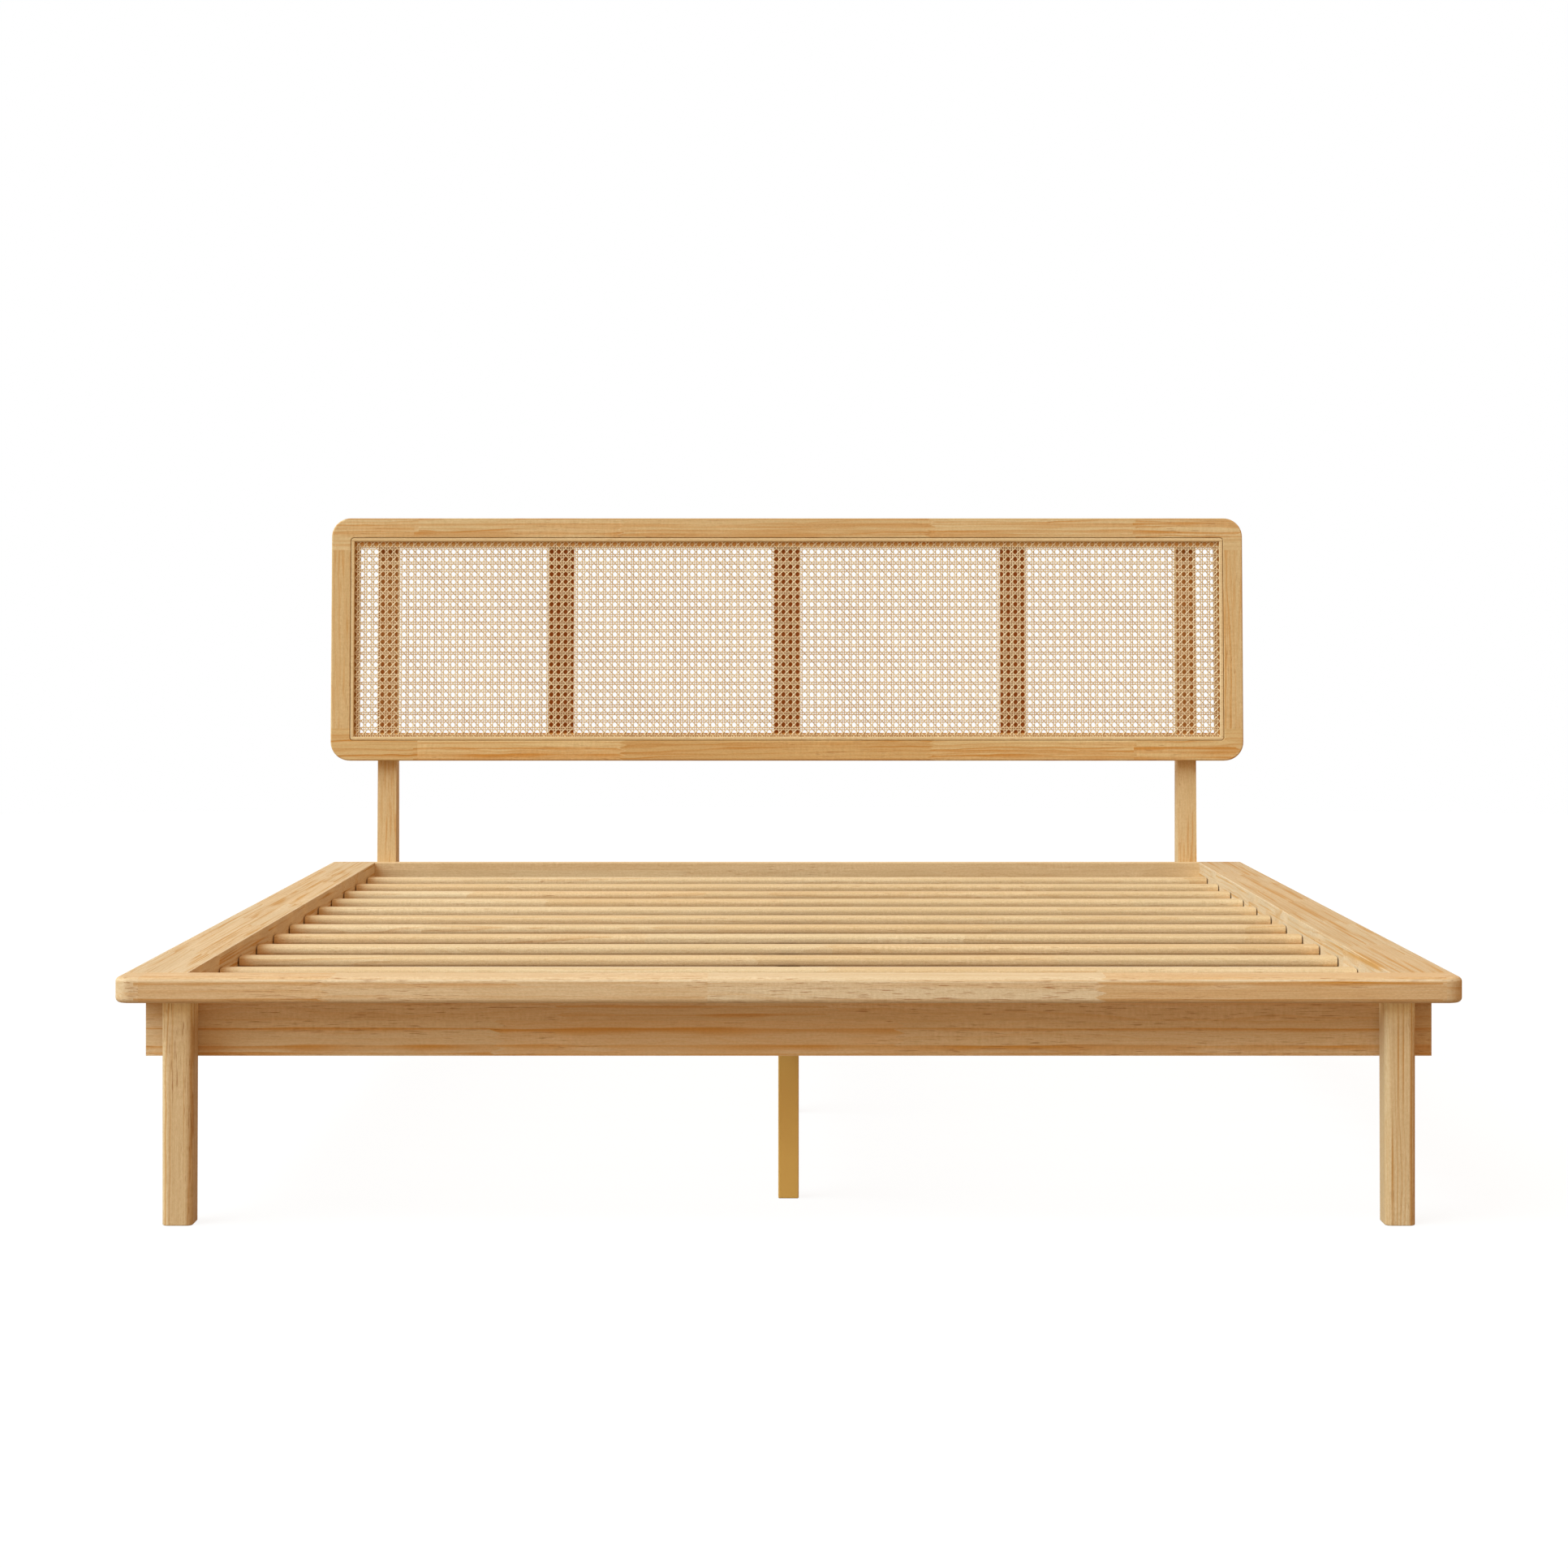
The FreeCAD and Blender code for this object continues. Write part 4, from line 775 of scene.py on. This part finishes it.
def cane_strands():
    """All strands of the sheet, each as strand_mesh gives it, with Z from the headboard's lower edge."""
    rng = random.Random(11)
    pair_x = PAIR_HALF / CANE_PITCH_X
    pair_z = PAIR_HALF / CANE_PITCH_Z
    middle_y = -HEADBOARD_THICKNESS + RABBET_DEPTH - CANE_THICKNESS / 2
    limit_x = HALF_WIDTH - BEAD_INNER_SIDE + UNDER_BEAD
    low_z = BEAD_INNER_BOTTOM - UNDER_BEAD
    high_z = HEADBOARD_HEIGHT - BEAD_INNER_TOP + UNDER_BEAD
    # Cell coordinates: whole numbers are where pairs cross, and holes lie half way between
    x0 = -CANE_COLUMNS / 2 * CANE_PITCH_X
    z0 = CANE_FIRST_ROW - CANE_PITCH_Z / 2
    made = []

    def add_strand(cell_x, cell_z, lift, half_width, tones):
        x = x0 + cell_x * CANE_PITCH_X
        z = z0 + cell_z * CANE_PITCH_Z
        keep = (np.abs(x) <= limit_x) & (z >= low_z) & (z <= high_z)
        if keep.sum() < 3:
            return
        x, z, lift = x[keep], z[keep], lift[keep]
        points = np.stack((x, middle_y - lift, z), axis=1)
        run = np.gradient(points, axis=0)
        sideways = np.stack((run[:, 2], np.zeros(len(x)), -run[:, 0]), axis=1)
        sideways /= np.linalg.norm(sideways, axis=1)[:, None]
        uneven = 1 + rng.uniform(-UNEVEN, UNEVEN)
        made.append(strand_mesh(points, sideways, half_width * uneven, rng.uniform(*tones)))

    def run_along(cells, fractions, keys):
        """Places along a strand, in cells from one before the sheet to one after it, and the lift at each."""
        run = np.concatenate([whole + np.array(fractions) for whole in range(-1, cells + 2)])
        places, lifts = zip(*keys)
        return run, np.interp(np.mod(run, 1.0), places, lifts)

    def run_over_pairs(cells, pair, lift):
        """A run that goes over one strand of each pair that it crosses and under the other."""
        fractions = [0.0, pair, 0.30, 0.5, 0.70, 1 - pair]
        keys = [(0.0, 0.0), (pair, lift), (0.30, 0.0), (0.70, 0.0), (1 - pair, -lift), (1.0, 0.0)]
        return run_along(cells, fractions, keys)

    # Uprights and levels: one of a pair goes over where the other goes under
    for sign in (-1, 1):
        run, lift = run_over_pairs(CANE_ROWS, pair_z, -sign * PAIR_LIFT)
        for column in range(CANE_COLUMNS + 1):
            add_strand(np.full(len(run), column + sign * pair_x), run, lift, STRAND_HALF, PAIR_SHADED_TONES)
        run, lift = run_over_pairs(CANE_COLUMNS, pair_x, sign * PAIR_LIFT)
        for row in range(-1, CANE_ROWS + 2):
            add_strand(run, np.full(len(run), row + sign * pair_z), lift, STRAND_HALF, PAIR_SHADED_TONES)
    # Diagonals: one kind lies over the uprights, the other over the levels
    fractions = [0.0, 0.10, 0.20, 0.30, 0.40, 0.5, 0.60, 0.70, 0.80, 0.90]
    spare = 4
    reach = CANE_COLUMNS + CANE_ROWS + spare
    for sign, tones in ((1, RISING_LIT_TONES), (-1, FALLING_SHADED_TONES)):
        level = DIAGONAL_LIFT * sign
        keys = [(0.0, level), (0.20, level), (0.30, -level), (0.70, -level), (0.80, level), (1.0, level)]
        run, lift = run_along(CANE_COLUMNS, fractions, keys)
        for step in range(-reach, reach):
            offset = step + 0.5
            up = run - offset if sign > 0 else offset - run
            add_strand(run, up, lift, DIAGONAL_HALF, tones)
    return made


def build_cane():
    vertices, quads, tones, total = [], [], [], 0
    for points, faces, tone in cane_strands():
        vertices.append(points)
        quads.append(faces + total)
        tones.append(tone)
        total += len(points)
    vertices = np.concatenate(vertices)
    quads = np.concatenate(quads)
    tones = np.concatenate(tones)
    mesh = bpy.data.meshes.new("cane_weave")
    mesh.vertices.add(len(vertices))
    mesh.vertices.foreach_set("co", vertices.astype(np.float32).ravel())
    mesh.loops.add(quads.size)
    mesh.loops.foreach_set("vertex_index", quads.astype(np.int32).ravel())
    mesh.polygons.add(len(quads))
    mesh.polygons.foreach_set("loop_start", (np.arange(len(quads)) * 4).astype(np.int32))
    mesh.update(calc_edges=True)
    mesh.polygons.foreach_set("use_smooth", np.ones(len(quads), dtype=bool))
    mesh.attributes.new("tone", "FLOAT", "POINT").data.foreach_set("value", tones.astype(np.float32))
    # The headboard leans back about the rear top edge of the platform
    pivot = Vector((0, REAR, DECK_TOP))
    place = Matrix.Translation(Vector((0, REAR, HEADBOARD_BOTTOM)))
    lean = Matrix.Translation(pivot) @ Matrix.Rotation(-LEAN, 4, "X") @ Matrix.Translation(-pivot)
    mesh.transform(lean @ place)
    cane = bpy.data.objects.new("cane_weave", mesh)
    scene.collection.objects.link(cane)
    mesh.materials.append(cane_material())
    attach(cane, "root")
    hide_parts("cane_panel")


# Floor, light and camera
WHITE = (1, 1, 1, 1)
FLOOR_RADIUS, FLOOR_INNER, FLOOR_SIDES = 9.0, 1.5, 64
FLOOR_DARK, FLOOR_LIGHT = (0.303, 0.230, 0.156, 1), (0.320, 0.246, 0.172, 1)
# Where the floor is seen, it is mostly a white glow, over a dark grey that takes the shadow
FLOOR_GREY = (0.123, 0.123, 0.123, 1)
FLOOR_GLOW = 0.90
FLOOR_CLOUD_SCALE = (3.0, 3.0, 3.0)
# Soft light from all round, warmer and weaker from the right, and a broad cool lamp from the left
AMBIENT = (0.78, 0.565, 0.360, 1)
AMBIENT_RIGHT = (0.54, 0.30, 0.115, 1)
KEY_COLOR = (0.65, 0.87, 1.0)
KEY_STRENGTH = 3.66
KEY_ANGLE = math.radians(60)
KEY_DIRECTION = (0.66, 0.36, -0.66)
CAMERA_PLACE = (-0.007, -5.520, 0.7698)
SENSOR_WIDTH = 36.0
LENS = 80.05
# The width of the square picture, and its shift, in its pixels
PICTURE_SIZE = 1932
SHIFT_RIGHT, SHIFT_UP = 0.9, -198.7


def floor_material():
    """A matte floor for the light that it throws back, and a white one with the shadow where it is seen."""
    material, t = new_material("studio_floor")
    cloud = t.noise(t.object_place(), FLOOR_CLOUD_SCALE)
    color = t.mix(cloud, FLOOR_DARK, FLOOR_LIGHT)
    matte = t.add("ShaderNodeBsdfPrincipled", {"Base Color": color, "Roughness": 0.9})
    shaded = t.add("ShaderNodeBsdfDiffuse", {"Color": FLOOR_GREY})
    white = t.add("ShaderNodeEmission", {"Color": WHITE, "Strength": FLOOR_GLOW})
    seen = t.seen_directly()
    plain = t.add("ShaderNodeAddShader", {0: shaded.outputs[0], 1: white.outputs[0]})
    close_material(t, t.add("ShaderNodeMixShader", {0: seen, 1: matte.outputs[0], 2: plain.outputs[0]}))
    return material


def build_floor():
    mesh = bpy.data.meshes.new("studio_floor")
    angles = [2 * math.pi * k / FLOOR_SIDES for k in range(FLOOR_SIDES)]
    ring = [(FLOOR_RADIUS * math.cos(angle), FLOOR_RADIUS * math.sin(angle), 0.0) for angle in angles]
    inner = [(FLOOR_INNER * x / FLOOR_RADIUS, FLOOR_INNER * y / FLOOR_RADIUS, 0.0) for x, y, z in ring]
    faces = [(k, (k + 1) % FLOOR_SIDES, FLOOR_SIDES + (k + 1) % FLOOR_SIDES, FLOOR_SIDES + k)
             for k in range(FLOOR_SIDES)]
    faces.append(tuple(range(FLOOR_SIDES, 2 * FLOOR_SIDES)))
    mesh.from_pydata(ring + inner, [], faces)
    floor = bpy.data.objects.new("studio_floor", mesh)
    scene.collection.objects.link(floor)
    mesh.materials.append(floor_material())


def build_light():
    world = bpy.data.worlds.new("studio")
    scene.world = world
    world.use_nodes = True
    world.node_tree.nodes.clear()
    t = Tree(world.node_tree)
    toward = t.split(t.add("ShaderNodeTexCoord").outputs["Generated"])
    shade = t.ramp(toward[0], 0.0, 1.0)
    soft = t.add("ShaderNodeBackground", {"Color": t.mix(shade, AMBIENT, AMBIENT_RIGHT), "Strength": 1.0})
    white = t.add("ShaderNodeBackground", {"Color": WHITE, "Strength": 1.0})
    seen = t.seen_directly()
    both = t.add("ShaderNodeMixShader", {0: seen, 1: soft.outputs[0], 2: white.outputs[0]})
    t.add("ShaderNodeOutputWorld", {0: both.outputs[0]})
    key = bpy.data.lights.new("key", "SUN")
    key.energy = KEY_STRENGTH
    key.color = KEY_COLOR
    key.angle = KEY_ANGLE
    lamp = bpy.data.objects.new("key", key)
    scene.collection.objects.link(lamp)
    lamp.rotation_mode = "QUATERNION"
    lamp.rotation_quaternion = Vector(KEY_DIRECTION).to_track_quat("-Z", "Y")


def build_camera():
    data = bpy.data.cameras.new("camera")
    camera = bpy.data.objects.new("camera", data)
    scene.collection.objects.link(camera)
    camera.location = CAMERA_PLACE
    camera.rotation_euler = (math.radians(90), 0, 0)
    data.sensor_width = SENSOR_WIDTH
    data.lens = LENS
    data.shift_x = SHIFT_RIGHT / PICTURE_SIZE
    data.shift_y = SHIFT_UP / PICTURE_SIZE
    data.clip_start = 0.05
    data.clip_end = 60
    scene.camera = camera


scene.view_settings.view_transform = "Standard"
build_camera()
build_light()
build_floor()
dress_boards()
dress_hardware()
build_cane()
